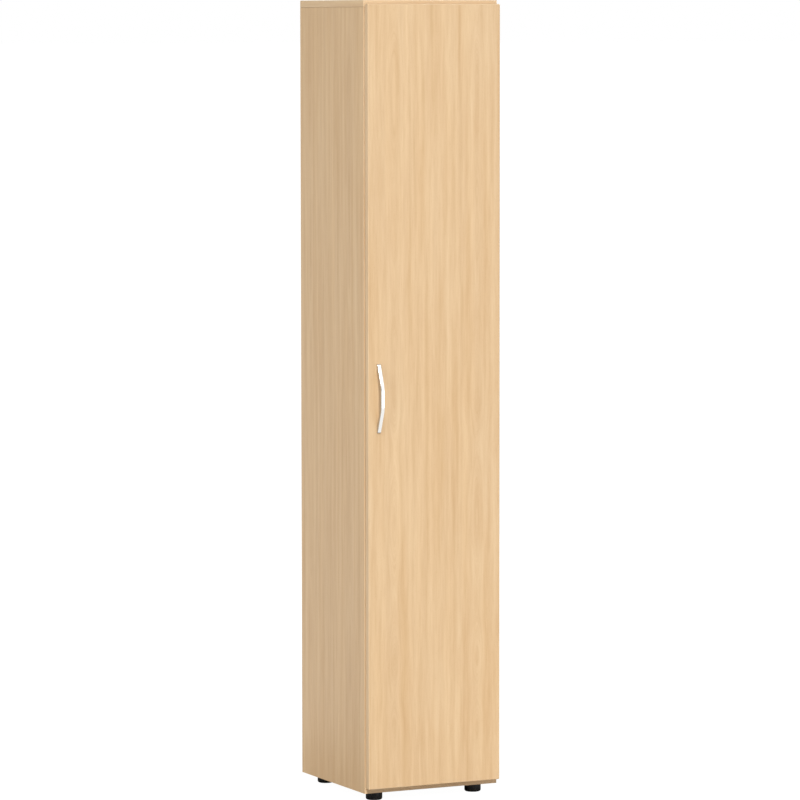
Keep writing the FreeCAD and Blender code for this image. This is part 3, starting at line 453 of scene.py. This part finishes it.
METAL_CLOUDS = 60.0
METAL_WEAR = 0.08
# How far a face turns sideways before the painted shade on the handle's flanks sets in
FLANK_SHADE_TURNS = (0.45, 0.80)
BRUSH_ROUGHNESS = 0.16
CLOUD_ROUGHNESS = 0.14
BRUSH_STRENGTH = 0.06
BRUSH_DEPTH = 0.0001
CRYSTALS = 700.0
CRYSTAL_TONE = 0.16
CRYSTAL_ROUGHNESS = 0.14
GRIT = 2600.0
GRIT_STRENGTH = 0.15
GRIT_DEPTH = 0.0001


def metal(name, colour, roughness, brush_axis, brush=1200.0, brush_run=14.0, metallic=1.0, flank=None):
    """Metal brushed along an axis, a little cloudy; a flank colour is painted shade on faces to either
    side.
    """
    finish = new_finish(name)
    place = finish.place()
    lines = finish.noise(finish.scaled(place, grained(brush_axis, brush, brush_run)), 3.0)
    cloud = finish.noise(finish.scaled(place, [METAL_CLOUDS] * 3), 3.0)
    base = rgba(colour)
    # Painted shade: faces that look sideways take the darker flank colour
    if flank is not None:
        sideways = abs(finish.along(finish.node("TexCoord", {}, {}, "Normal"), "X"))
        base = finish.mixed(finish.step(sideways, *FLANK_SHADE_TURNS), base, rgba(flank))
    tone = 1.0 + (cloud + lines) * METAL_WEAR
    return finish.made(
        {
            "Base Color": finish.mixed(1.0, base, tone, "MULTIPLY"),
            "Metallic": metallic,
            "Roughness": roughness + lines * BRUSH_ROUGHNESS + cloud * CLOUD_ROUGHNESS,
            "Normal": finish.bump(lines, BRUSH_STRENGTH, BRUSH_DEPTH),
        }
    )


def cast_metal(name, colour, roughness):
    """Die-cast or zinc-plated metal with faint crystals and a grainy skin."""
    finish = new_finish(name)
    place = finish.place()
    crystal = finish.scaled(place, [CRYSTALS] * 3)
    cell = finish.node("TexVoronoi", {}, {"Vector": crystal, "Scale": 1.0}, "Color")
    pick = finish.along(cell, "X") - 0.5
    grit = finish.noise(finish.scaled(place, [GRIT] * 3))
    return finish.made(
        {
            "Base Color": finish.mixed(1.0, rgba(colour), 1.0 + pick * CRYSTAL_TONE, "MULTIPLY"),
            "Metallic": 1.0,
            "Roughness": roughness + pick * CRYSTAL_ROUGHNESS,
            "Normal": finish.bump(grit, GRIT_STRENGTH, GRIT_DEPTH),
        }
    )


# Plastic, powder coat and raw wood

SKIN = 1800.0
SKIN_ROUGHNESS = 0.2
SKIN_STRENGTH = 0.10
SKIN_DEPTH = 0.0002
SCUFFS = (240.0, 240.0, 900.0)
SCUFF_STEPS = (0.10, 0.24)
SCUFF_HEIGHTS = (0.002, 0.010)
SCUFF_SHARE = 0.6
SCUFF_PALENESS = 5.0
PEEL = 520.0
PEEL_ROUGHNESS = 0.12
PEEL_STRENGTH = 0.20
PEEL_DEPTH = 0.0003
COAT_ROUGHNESS = 0.42
SPECKS = 3000.0
SPECK_TONE = 0.12
DOT_CLOUDS = 400.0
DOT_DULL = (0.78, 0.77, 0.73)
DOT_CLEAR = (0.88, 0.88, 0.86)
DOT_ROUGHNESS = 0.28
DOT_TRANSMISSION = 0.55
DOT_REFRACTION = 1.48
DOWEL_FIBRES = (90.0, 1400.0, 1400.0)
DOWEL_STEPS = (-0.2, 0.2)
DOWEL_PALE = (0.60, 0.42, 0.26)
DOWEL_DEEP = (0.46, 0.30, 0.17)
DOWEL_ROUGHNESS = 0.7
DOWEL_STRENGTH = 0.2
DOWEL_DEPTH = 0.0002


def moulded_plastic(name, colour, roughness):
    """Moulded plastic with a fine sparked skin and pale scuffs low down."""
    finish = new_finish(name)
    place = finish.place()
    skin = finish.noise(finish.scaled(place, [SKIN] * 3))
    scuff = finish.noise(finish.scaled(place, SCUFFS), 4.0)
    low_down = 1.0 - finish.step(finish.along(place, "Z"), *SCUFF_HEIGHTS)
    worn = finish.step(scuff, *SCUFF_STEPS) * low_down
    pale = [min(1.0, part * SCUFF_PALENESS) for part in colour]
    return finish.made(
        {
            "Base Color": finish.mixed(worn * SCUFF_SHARE, rgba(colour), rgba(pale)),
            "Roughness": roughness + (skin + worn) * SKIN_ROUGHNESS,
            "Normal": finish.bump(skin, SKIN_STRENGTH, SKIN_DEPTH),
        }
    )


def powder_coat(name, colour):
    """Baked powder coat with an orange-peel skin."""
    finish = new_finish(name)
    place = finish.place()
    peel = finish.noise(finish.scaled(place, [PEEL] * 3), 1.0)
    speck = finish.noise(finish.scaled(place, [SPECKS] * 3), 1.0)
    return finish.made(
        {
            "Base Color": finish.mixed(1.0, rgba(colour), 1.0 + speck * SPECK_TONE, "MULTIPLY"),
            "Roughness": COAT_ROUGHNESS + peel * PEEL_ROUGHNESS,
            "Normal": finish.bump(peel, PEEL_STRENGTH, PEEL_DEPTH),
        }
    )


def soft_dot(name):
    """Clear soft plastic of the door buffers, a little cloudy."""
    finish = new_finish(name)
    cloud = finish.noise(finish.scaled(finish.place(), [DOT_CLOUDS] * 3))
    return finish.made(
        {
            "Base Color": finish.mixed(0.5 + cloud, rgba(DOT_DULL), rgba(DOT_CLEAR)),
            "Roughness": DOT_ROUGHNESS + cloud * CLOUD_ROUGHNESS,
            "Transmission Weight": DOT_TRANSMISSION,
            "IOR": DOT_REFRACTION,
        }
    )


def dowel_wood(name):
    """Raw turned beech of the dowels."""
    finish = new_finish(name)
    fibre = finish.noise(finish.scaled(finish.place(), DOWEL_FIBRES), 3.0)
    paleness = finish.step(fibre, *DOWEL_STEPS)
    return finish.made(
        {
            "Base Color": finish.mixed(paleness, rgba(DOWEL_DEEP), rgba(DOWEL_PALE)),
            "Roughness": DOWEL_ROUGHNESS + fibre * FIBRE_SHARE,
            "Normal": finish.bump(fibre, DOWEL_STRENGTH, DOWEL_DEPTH),
        }
    )


def dress(material, *names):
    """Gives nodes of the frame their finish."""
    for name in names:
        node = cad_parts[name]
        if not node.material_slots:
            node.data.materials.append(material)
        for slot in node.material_slots:
            slot.material = material


# Mesh helpers

SMOOTH_ANGLE = math.radians(32.0)
SHARP_ANGLE = math.radians(40.0)
MERGE = 1e-6
SPOT = 1e-5


def verts_in(parts):
    """The vertices among the parts that a mesh step made."""
    return [part for part in parts if isinstance(part, bmesh.types.BMVert)]


def edges_in(parts):
    """The edges among the parts that a mesh step made."""
    return [part for part in parts if isinstance(part, bmesh.types.BMEdge)]


def chain(shape, points):
    """Vertices joined one after another by edges."""
    verts = [shape.verts.new(point) for point in points]
    for first, second in zip(verts, verts[1:]):
        shape.edges.new((first, second))
    return verts


def extruded(shape, way):
    """Turns the flat faces of a shape into a closed body of that depth."""
    found = bmesh.ops.extrude_face_region(shape, geom=shape.faces[:])["geom"]
    bmesh.ops.translate(shape, vec=way, verts=verts_in(found))
    bmesh.ops.recalc_face_normals(shape, faces=shape.faces[:])


def rounded(shape, edges, radius, segments):
    """Rounds chosen edges of a shape."""
    bmesh.ops.bevel(
        shape,
        geom=edges,
        offset=radius,
        offset_type="OFFSET",
        affect="EDGES",
        segments=segments,
        profile=0.5,
        material=-1,
        clamp_overlap=True,
    )


def sharp_edges(shape):
    """Edges where two faces meet at a sharp angle."""
    return [edge for edge in shape.edges if edge.is_manifold and edge.calc_face_angle() > SHARP_ANGLE]


def turned(shape, points, centre, steps):
    """A body turned about an upright axis from a profile of radius and height pairs."""
    verts = chain(shape, [centre + Vector((radius, 0.0, height)) for radius, height in points])
    bmesh.ops.spin(
        shape,
        geom=verts + shape.edges[:],
        cent=centre,
        axis=(0.0, 0.0, 1.0),
        angle=math.tau,
        steps=steps,
        use_merge=True,
    )
    bmesh.ops.remove_doubles(shape, verts=shape.verts[:], dist=MERGE)
    bmesh.ops.recalc_face_normals(shape, faces=shape.faces[:])


def add_piece(name, shape, material, body, node):
    """Makes a finished shape an object that rides on a body and stands for a node."""
    mesh = bpy.data.meshes.new(name)
    shape.to_mesh(mesh)
    shape.free()
    mesh.materials.append(material)
    mesh.shade_smooth()
    mesh.set_sharp_from_angle(angle=SMOOTH_ANGLE)
    made = bpy.data.objects.new(name, mesh)
    bpy.context.scene.collection.objects.link(made)
    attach(made, body)
    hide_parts(node)
    return made


# Bow handle

FLANK_STEPS = 4


def bow_handle(look):
    """A flat bar bent twice: a straight grip, two sloping legs and feet that stand on the door."""
    low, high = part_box("door_handle")
    span = high - low
    middle = (low.z + high.z) / 2.0
    outer, grip = span.z / 2.0, look.grip / 2.0
    under = span.y - look.bar
    above = [(under, grip), (0.0, outer - look.foot), (0.0, outer), (look.end, outer), (span.y, grip)]
    below = [(height, -rise) for height, rise in reversed(above)]
    shape = bmesh.new()
    corners = chain(shape, [(low.x, high.y - height, middle + rise) for height, rise in above + below])
    shape.edges.new((corners[-1], corners[0]))
    bmesh.ops.edgeloop_fill(shape, edges=shape.edges[:])
    extruded(shape, Vector((span.x, 0.0, 0.0)))
    bends = (
        (look.end, outer, look.end_round),
        (under, grip, look.bend_round),
        (span.y, grip, look.bend_round),
    )
    for height, rise, radius in bends:
        for level in (middle - rise, middle + rise):
            bend = edge_across(shape, high.y - height, level)
            rounded(shape, [bend], radius * math.tan(bend.calc_face_angle() / 2.0), look.steps)
    flanks = [
        edge for edge in sharp_edges(shape) if any(vert.co.y < high.y - SPOT for vert in edge.verts)
    ]
    rounded(shape, flanks, look.edge_round, FLANK_STEPS)
    return shape


def edge_across(shape, y, z):
    """The edge across the bar at that depth and height."""
    for edge in shape.edges:
        if all(abs(vert.co.y - y) < SPOT and abs(vert.co.z - z) < SPOT for vert in edge.verts):
            return edge
    raise RuntimeError("the bar has no edge there")


# Levelling feet

BOTTOM_RIM_STEPS = 7
TOP_RIM_STEPS = 3
THREAD_STEPS = 36
SPARE_TURNS = 2
ROOT_SHARES = (0.125, 0.875)
CREST_SHARES = (0.4375, 0.5625)
HEXAGON_SIDES = 6


def glide(look, place):
    """A round glide with a dished underside, rounded rims and a socket for its stem."""
    low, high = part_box("foot_base_" + place)
    span = high - low
    radius, height = span.x / 2.0, span.z
    socket = size_of("foot_stem_" + place).x / 2.0 + look.socket_play
    centre = Vector((low.x + radius, low.y + radius, low.z))
    shape = bmesh.new()
    turned(
        shape,
        [
            (0.0, look.dish_depth),
            (look.dish_radius - look.dish_depth, look.dish_depth),
            (look.dish_radius, 0.0),
            (radius, 0.0),
            (radius, height),
            (socket, height),
            (socket, height - look.socket_depth),
            (0.0, height - look.socket_depth),
        ],
        centre,
        look.steps,
    )

    def rim(level):
        return [edge for edge in shape.edges if all(on_rim(vert, level) for vert in edge.verts)]

    def on_rim(vert, level):
        out = (vert.co - centre).xy.length
        return abs(out - radius) < MERGE and abs(vert.co.z - level) < MERGE

    rounded(shape, rim(low.z), look.bottom_round, BOTTOM_RIM_STEPS)
    rounded(shape, rim(high.z), look.top_round, TOP_RIM_STEPS)
    return shape


def threaded_stem(look, place):
    """A stem with a helical thread, a flat foot and a hexagon socket in its top."""
    low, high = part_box("foot_stem_" + place)
    radius = (high.x - low.x) / 2.0
    centre = Vector((low.x + radius, low.y + radius, 0.0))
    core, pitch = radius - look.thread_depth, look.thread_pitch
    start = low.z - pitch
    turns = math.ceil((high.z - low.z) / pitch) + SPARE_TURNS
    root_end, root_start = ROOT_SHARES
    crest_start, crest_end = CREST_SHARES
    flanks = [
        (core, 0.0),
        (core, root_end),
        (radius, crest_start),
        (radius, crest_end),
        (core, root_start),
        (core, 1.0),
    ]
    shape = bmesh.new()
    verts = chain(shape, [centre + Vector((out, 0.0, start + rise * pitch)) for out, rise in flanks])
    bmesh.ops.spin(
        shape,
        geom=verts + shape.edges[:],
        cent=centre,
        axis=(0.0, 0.0, 1.0),
        dvec=(0.0, 0.0, pitch / THREAD_STEPS),
        angle=turns * math.tau,
        steps=turns * THREAD_STEPS,
    )
    bmesh.ops.remove_doubles(shape, verts=shape.verts[:], dist=MERGE)
    cut_square(shape, centre, low.z, clear_above=False)
    foot = boundary(shape, low.z)
    bmesh.ops.holes_fill(shape, edges=foot)
    cut_square(shape, centre, high.z, clear_above=True)
    rim = boundary(shape, high.z)
    hexagon = hexagon_edges(shape, centre, look.key_radius, high.z)
    bmesh.ops.bridge_loops(shape, edges=rim + hexagon)
    walls = bmesh.ops.extrude_edge_only(shape, edges=hexagon)["geom"]
    bmesh.ops.translate(shape, vec=(0.0, 0.0, -look.key_depth), verts=verts_in(walls))
    bmesh.ops.holes_fill(shape, edges=boundary(shape, high.z - look.key_depth))
    bmesh.ops.recalc_face_normals(shape, faces=shape.faces[:])
    return shape


def cut_square(shape, centre, level, clear_above):
    """Cuts a shape level and drops what lies beyond the cut."""
    bmesh.ops.bisect_plane(
        shape,
        geom=shape.verts[:] + shape.edges[:] + shape.faces[:],
        dist=MERGE,
        plane_co=(centre.x, centre.y, level),
        plane_no=(0.0, 0.0, 1.0),
        clear_outer=clear_above,
        clear_inner=not clear_above,
    )


def boundary(shape, level):
    """Open edges of a shape at one level."""
    return [
        edge
        for edge in shape.edges
        if edge.is_boundary and all(abs(vert.co.z - level) < MERGE for vert in edge.verts)
    ]


def hexagon_edges(shape, centre, radius, level):
    """A hexagon of edges at one level."""
    found = bmesh.ops.create_circle(shape, cap_ends=False, radius=radius, segments=HEXAGON_SIDES)["verts"]
    bmesh.ops.translate(shape, vec=Vector((centre.x, centre.y, level)), verts=found)
    return list({edge for vert in found for edge in vert.link_edges})


# Broom hooks

BEND_STEPS = 8
END_CORNER_STEPS = 6
STRIP_EDGE_STEPS = 2


def bent_hook(look, place):
    """Flat steel bent twice: a plate on the rail, an arm and an upturned tip."""
    low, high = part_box("broom_hook_" + place)
    thick, bend = look.thickness, look.bend
    elbow = thick + bend
    shape = bmesh.new()
    chain(shape, [(low.x, high.y, high.z), (low.x, high.y - thick, high.z)])
    leading = shape.edges[:]

    def run(way):
        found = bmesh.ops.extrude_edge_only(shape, edges=leading)["geom"]
        bmesh.ops.translate(shape, vec=way, verts=verts_in(found))
        return edges_in(found)

    def turn(y, z):
        found = bmesh.ops.spin(
            shape,
            geom=leading + [vert for edge in leading for vert in edge.verts],
            cent=(low.x, y, z),
            axis=(1.0, 0.0, 0.0),
            angle=-math.pi / 2.0,
            steps=BEND_STEPS,
        )["geom_last"]
        return edges_in(found)

    leading = run((0.0, 0.0, low.z + elbow - high.z))
    leading = turn(high.y - elbow, low.z + elbow)
    leading = run((0.0, low.y - high.y + 2.0 * elbow, 0.0))
    leading = turn(low.y + elbow, low.z + elbow)
    leading = run((0.0, 0.0, look.tip_rise - elbow))
    extruded(shape, Vector((high.x - low.x, 0.0, 0.0)))
    ends = (high.z, low.z + look.tip_rise)
    corners = [
        edge for edge in sharp_edges(shape) if any(is_end_corner(edge, level) for level in ends)
    ]
    rounded(shape, corners, look.corner, END_CORNER_STEPS)
    rounded(shape, sharp_edges(shape), look.edge_round, STRIP_EDGE_STEPS)
    return shape


def is_end_corner(edge, level):
    """True for a short edge through the strip's thickness at its end."""
    first, second = (vert.co for vert in edge.verts)
    level_both = abs(first.z - level) < MERGE and abs(second.z - level) < MERGE
    return level_both and abs(first.x - second.x) < MERGE


# Operators, with the colours and roughness of the small fittings

GLIDE_ROUGHNESS = 0.34
STEM_COLOUR = (0.66, 0.67, 0.69)
STEM_ROUGHNESS = 0.34
HINGE_COLOUR = (0.74, 0.72, 0.69)
HINGE_ROUGHNESS = 0.24
HINGE_BRUSH = (900.0, 30.0)
SPRING_COLOUR = (0.52, 0.52, 0.54)
SPRING_ROUGHNESS = 0.30
SPRING_BRUSH = (1500.0, 40.0)
SCREW_COLOUR = (0.70, 0.69, 0.66)
SCREW_ROUGHNESS = 0.28
SCREW_BRUSH = (2400.0, 200.0)
CASTING_COLOUR = (0.58, 0.59, 0.60)
CASTING_ROUGHNESS = 0.46


class CUPBOARD_OT_boards(bpy.types.Operator):
    """Gives the boards and their edge bands the beech decor"""

    bl_idname = "cupboard.boards"
    bl_label = "Finish Boards"

    def execute(self, context):
        for seed, (board, (grain, face)) in enumerate(BOARDS.items(), start=1):
            dress(beech("beech_" + board, grain, seed, face), board)
        for seed, (axis, bands) in enumerate(BANDS.items(), start=len(BOARDS) + 1):
            dress(beech("beech_edging_" + axis.lower(), axis, seed), *bands)
        return {"FINISHED"}


class CUPBOARD_OT_handle(bpy.types.Operator):
    """Models the bow handle in satin metal"""

    bl_idname = "cupboard.handle"
    bl_label = "Make Handle"

    def execute(self, context):
        look = context.scene.cupboard.handle
        # The flank colour paints shade on the bar's sides
        satin = metal(
            "handle_satin", look.colour, look.roughness, "Z", metallic=look.metallic, flank=look.flank
        )
        add_piece("bow_handle", bow_handle(look), satin, "door", "door_handle")
        return {"FINISHED"}


class CUPBOARD_OT_feet(bpy.types.Operator):
    """Models the glides and threaded stems of the levelling feet"""

    bl_idname = "cupboard.feet"
    bl_label = "Make Feet"

    def execute(self, context):
        look = context.scene.cupboard.feet
        plastic = moulded_plastic("glide_plastic", look.colour, GLIDE_ROUGHNESS)
        zinc = cast_metal("stem_zinc", STEM_COLOUR, STEM_ROUGHNESS)
        for place in FEET:
            base, stem = "foot_base_" + place, "foot_stem_" + place
            puck, screw = glide(look, place), threaded_stem(look, place)
            add_piece("glide_" + place, puck, plastic, "foot_" + place, base)
            add_piece("threaded_stem_" + place, screw, zinc, "stem_" + place, stem)
        dress(zinc, "foot_sleeves")
        return {"FINISHED"}


class CUPBOARD_OT_hooks(bpy.types.Operator):
    """Models the broom hooks and coats their rail"""

    bl_idname = "cupboard.hooks"
    bl_label = "Make Broom Hooks"

    def execute(self, context):
        look = context.scene.cupboard.hooks
        coat = powder_coat("hook_coat", look.colour)
        for place in HOOKS:
            node = "broom_hook_" + place
            add_piece("bent_hook_" + place, bent_hook(look, place), coat, "carcass", node)
        dress(coat, "hook_rail")
        return {"FINISHED"}


class CUPBOARD_OT_hinges(bpy.types.Operator):
    """Finishes the hinge plates, arms, cups, pins and springs"""

    bl_idname = "cupboard.hinges"
    bl_label = "Finish Hinges"

    def execute(self, context):
        nickel = metal("hinge_nickel", HINGE_COLOUR, HINGE_ROUGHNESS, "Y", *HINGE_BRUSH)
        spring = metal("spring_steel", SPRING_COLOUR, SPRING_ROUGHNESS, "X", *SPRING_BRUSH)
        for number in HINGES:
            dress(nickel, "hinge_plate_" + number, "hinge_arm_" + number, "hinge_cup_" + number)
        dress(nickel, "hinge_pins")
        dress(spring, "hinge_springs")
        return {"FINISHED"}


class CUPBOARD_OT_fittings(bpy.types.Operator):
    """Finishes the screws, cams, bolts, dowels, shelf pins and buffers"""

    bl_idname = "cupboard.fittings"
    bl_label = "Finish Fittings"

    def execute(self, context):
        screw = metal("screw_nickel", SCREW_COLOUR, SCREW_ROUGHNESS, "Z", *SCREW_BRUSH)
        casting = cast_metal("zinc_casting", CASTING_COLOUR, CASTING_ROUGHNESS)
        dress(
            screw,
            "back_panel_screws",
            "hook_rail_screws",
            "handle_screws",
            "hinge_plate_screws",
            "hinge_arm_screws",
            "hinge_cup_screws",
            "shelf_pins",
        )
        dress(casting, "cam_housings", "cam_bolts")
        dress(dowel_wood("dowel_beech"), "wood_dowels")
        dress(soft_dot("buffer_soft"), "door_buffers")
        return {"FINISHED"}


# Studio

AIM = Vector((0.0, 0.0, 1.10))
KEY_DISTANCE = 6.0
LEFT_PLACE = Vector((-3.3, -1.47, 2.4))
LEFT_SIZE = (1.6, 2.2)
CARD_PLACE = Vector((2.42, -4.69, 2.98))
CARD_SIZE = (3.0, 6.0)
REAR_PLACE = Vector((3.6, 4.4, 3.6))
REAR_SIZE = (3.0, 3.0)
FLOOR_REACH = 400.0
FLOOR_LIT_SHARE = 0.88
FLOOR_MIRRORED_SHARE = 0.7
# Painted shade seen only in reflections: the floor near the cupboard turns dark for glossy rays
FLOOR_DIM_REACH = (0.80, 1.05)
FLOOR_DIM_SHARE = 0.8
FLOOR_REFLECTED_SHADE = (0.12, 0.12, 0.12)
FLOOR_GLOW = 1.12
WHITE = (1.0, 1.0, 1.0, 1.0)
SENSOR_WIDTH = 36.0
CLIP_END = 1000.0


def hang(name, lamp, place, aim):
    """Hangs a lamp in the studio, turned to what it lights."""
    light = bpy.data.objects.new(name, lamp)
    light.location = place
    light.rotation_euler = (aim - place).to_track_quat("-Z", "Y").to_euler()
    light.visible_camera = False
    bpy.context.scene.collection.objects.link(light)
    return light


def key_light(look):
    """Even light from one side of the sky, soft at the edges of its shadows."""
    lamp = bpy.data.lights.new("key_light", "SUN")
    lamp.energy = look.key_strength
    lamp.angle = look.key_softness
    way = Euler((-look.key_height, 0.0, -look.key_turn)).to_matrix() @ Vector((0.0, -1.0, 0.0))
    hang("key_light", lamp, AIM + way * KEY_DISTANCE, AIM)


def soft_box(name, place, size, power):
    """A soft box of that width and height."""
    lamp = bpy.data.lights.new(name, "AREA")
    lamp.shape = "RECTANGLE"
    lamp.size, lamp.size_y = size
    lamp.energy = power
    return hang(name, lamp, place, AIM)


def studio_floor(look):
    """A wide pale floor that glows a little, as a lit sweep does, so that shadows stay faint; near the
    cupboard it is painted dark for glossy rays only, a painted shade that the handle's lower end reflects.
    """
    finish = new_finish("studio_floor")
    seen = finish.node("LightPath", {}, {}, "Is Camera Ray")
    mirrored = finish.node("LightPath", {}, {}, "Is Glossy Ray")
    matt = finish.node("BsdfDiffuse", {}, {"Color": rgba(look.floor)})
    glow = finish.node("Emission", {}, {"Color": WHITE, "Strength": FLOOR_GLOW})
    # Painted shade for reflections: the dark floor that glossy rays see near the cupboard
    dark = finish.node("BsdfDiffuse", {}, {"Color": rgba(FLOOR_REFLECTED_SHADE)})
    away = finish.node("VectorMath", {"operation": "LENGTH"}, {0: finish.place()}, "Value")
    far = finish.step(away, *FLOOR_DIM_REACH)
    lit = seen * FLOOR_LIT_SHARE + mirrored * far * FLOOR_MIRRORED_SHARE
    surface = finish.node("MixShader", {}, {0: lit, 1: matt, 2: glow})
    reflected_shade_share = mirrored * (1.0 - far) * FLOOR_DIM_SHARE
    surface = finish.node("MixShader", {}, {0: reflected_shade_share, 1: surface, 2: dark})
    finish.node("OutputMaterial", {}, {"Surface": surface})
    shape = bmesh.new()
    bmesh.ops.create_grid(shape, x_segments=1, y_segments=1, size=FLOOR_REACH)
    mesh = bpy.data.meshes.new("studio_floor")
    shape.to_mesh(mesh)
    shape.free()
    mesh.materials.append(finish.owner)
    floor = bpy.data.objects.new("studio_floor", mesh)
    bpy.context.scene.collection.objects.link(floor)


def studio_world(look):
    """Even studio light all round, with a white backdrop behind the cupboard."""
    world = bpy.data.worlds.new("studio_world")
    finish = Finish(world)
    seen = finish.node("LightPath", {}, {}, "Is Camera Ray")
    light = finish.node("Background", {}, {"Color": WHITE, "Strength": look.ambient})
    backdrop = finish.node("Background", {}, {"Color": WHITE})
    surface = finish.node("MixShader", {}, {0: seen, 1: light, 2: backdrop})
    finish.node("OutputWorld", {}, {"Surface": surface})
    bpy.context.scene.world = world


def studio_camera(look):
    """A long lens at the photograph's viewing angle."""
    lens = bpy.data.cameras.new("studio_camera")
    lens.sensor_width = SENSOR_WIDTH
    lens.lens = look.lens
    lens.clip_end = CLIP_END
    camera = bpy.data.objects.new("studio_camera", lens)
    camera.location = look.camera_place
    level = Euler((math.pi / 2.0 - look.camera_pitch, 0.0, -look.camera_yaw)).to_matrix()
    camera.rotation_euler = (level @ Matrix.Rotation(look.camera_roll, 3, "Z")).to_euler()
    bpy.context.scene.collection.objects.link(camera)
    bpy.context.scene.camera = camera


class CUPBOARD_OT_stage(bpy.types.Operator):
    """Sets up the floor, the soft light and the camera"""

    bl_idname = "cupboard.stage"
    bl_label = "Set Up Studio"

    def execute(self, context):
        look = context.scene.cupboard.studio
        studio_floor(look)
        studio_world(look)
        key_light(look)
        soft_box("left_light", LEFT_PLACE, LEFT_SIZE, look.left_power)
        card = soft_box("white_card", CARD_PLACE, CARD_SIZE, look.card_power)
        card.visible_diffuse = False
        soft_box("rear_light", REAR_PLACE, REAR_SIZE, look.rear_power)
        studio_camera(look)
        context.scene.view_settings.view_transform = "Standard"
        return {"FINISHED"}


OPERATORS = (
    CUPBOARD_OT_boards,
    CUPBOARD_OT_handle,
    CUPBOARD_OT_feet,
    CUPBOARD_OT_hooks,
    CUPBOARD_OT_hinges,
    CUPBOARD_OT_fittings,
    CUPBOARD_OT_stage,
)


class CUPBOARD_PT_sidebar(bpy.types.Panel):
    """Lists the cupboard's steps in the sidebar"""

    bl_idname = "CUPBOARD_PT_sidebar"
    bl_label = "Broom Cupboard"
    bl_space_type = "VIEW_3D"
    bl_region_type = "UI"
    bl_category = "Cupboard"

    def draw(self, context):
        for operator in OPERATORS:
            self.layout.operator(operator.bl_idname)


CLASSES = (
    BoardSettings,
    HandleSettings,
    FootSettings,
    HookSettings,
    StudioSettings,
    CupboardSettings,
    *OPERATORS,
    CUPBOARD_PT_sidebar,
)


def register():
    for item in CLASSES:
        bpy.utils.register_class(item)
    bpy.types.Scene.cupboard = PointerProperty(type=CupboardSettings)


def unregister():
    del bpy.types.Scene.cupboard
    for item in reversed(CLASSES):
        bpy.utils.unregister_class(item)


def main():
    register()
    bpy.ops.cupboard.boards()
    bpy.ops.cupboard.handle()
    bpy.ops.cupboard.feet()
    bpy.ops.cupboard.hooks()
    bpy.ops.cupboard.hinges()
    bpy.ops.cupboard.fittings()
    bpy.ops.cupboard.stage()


if __name__ == "__main__":
    main()
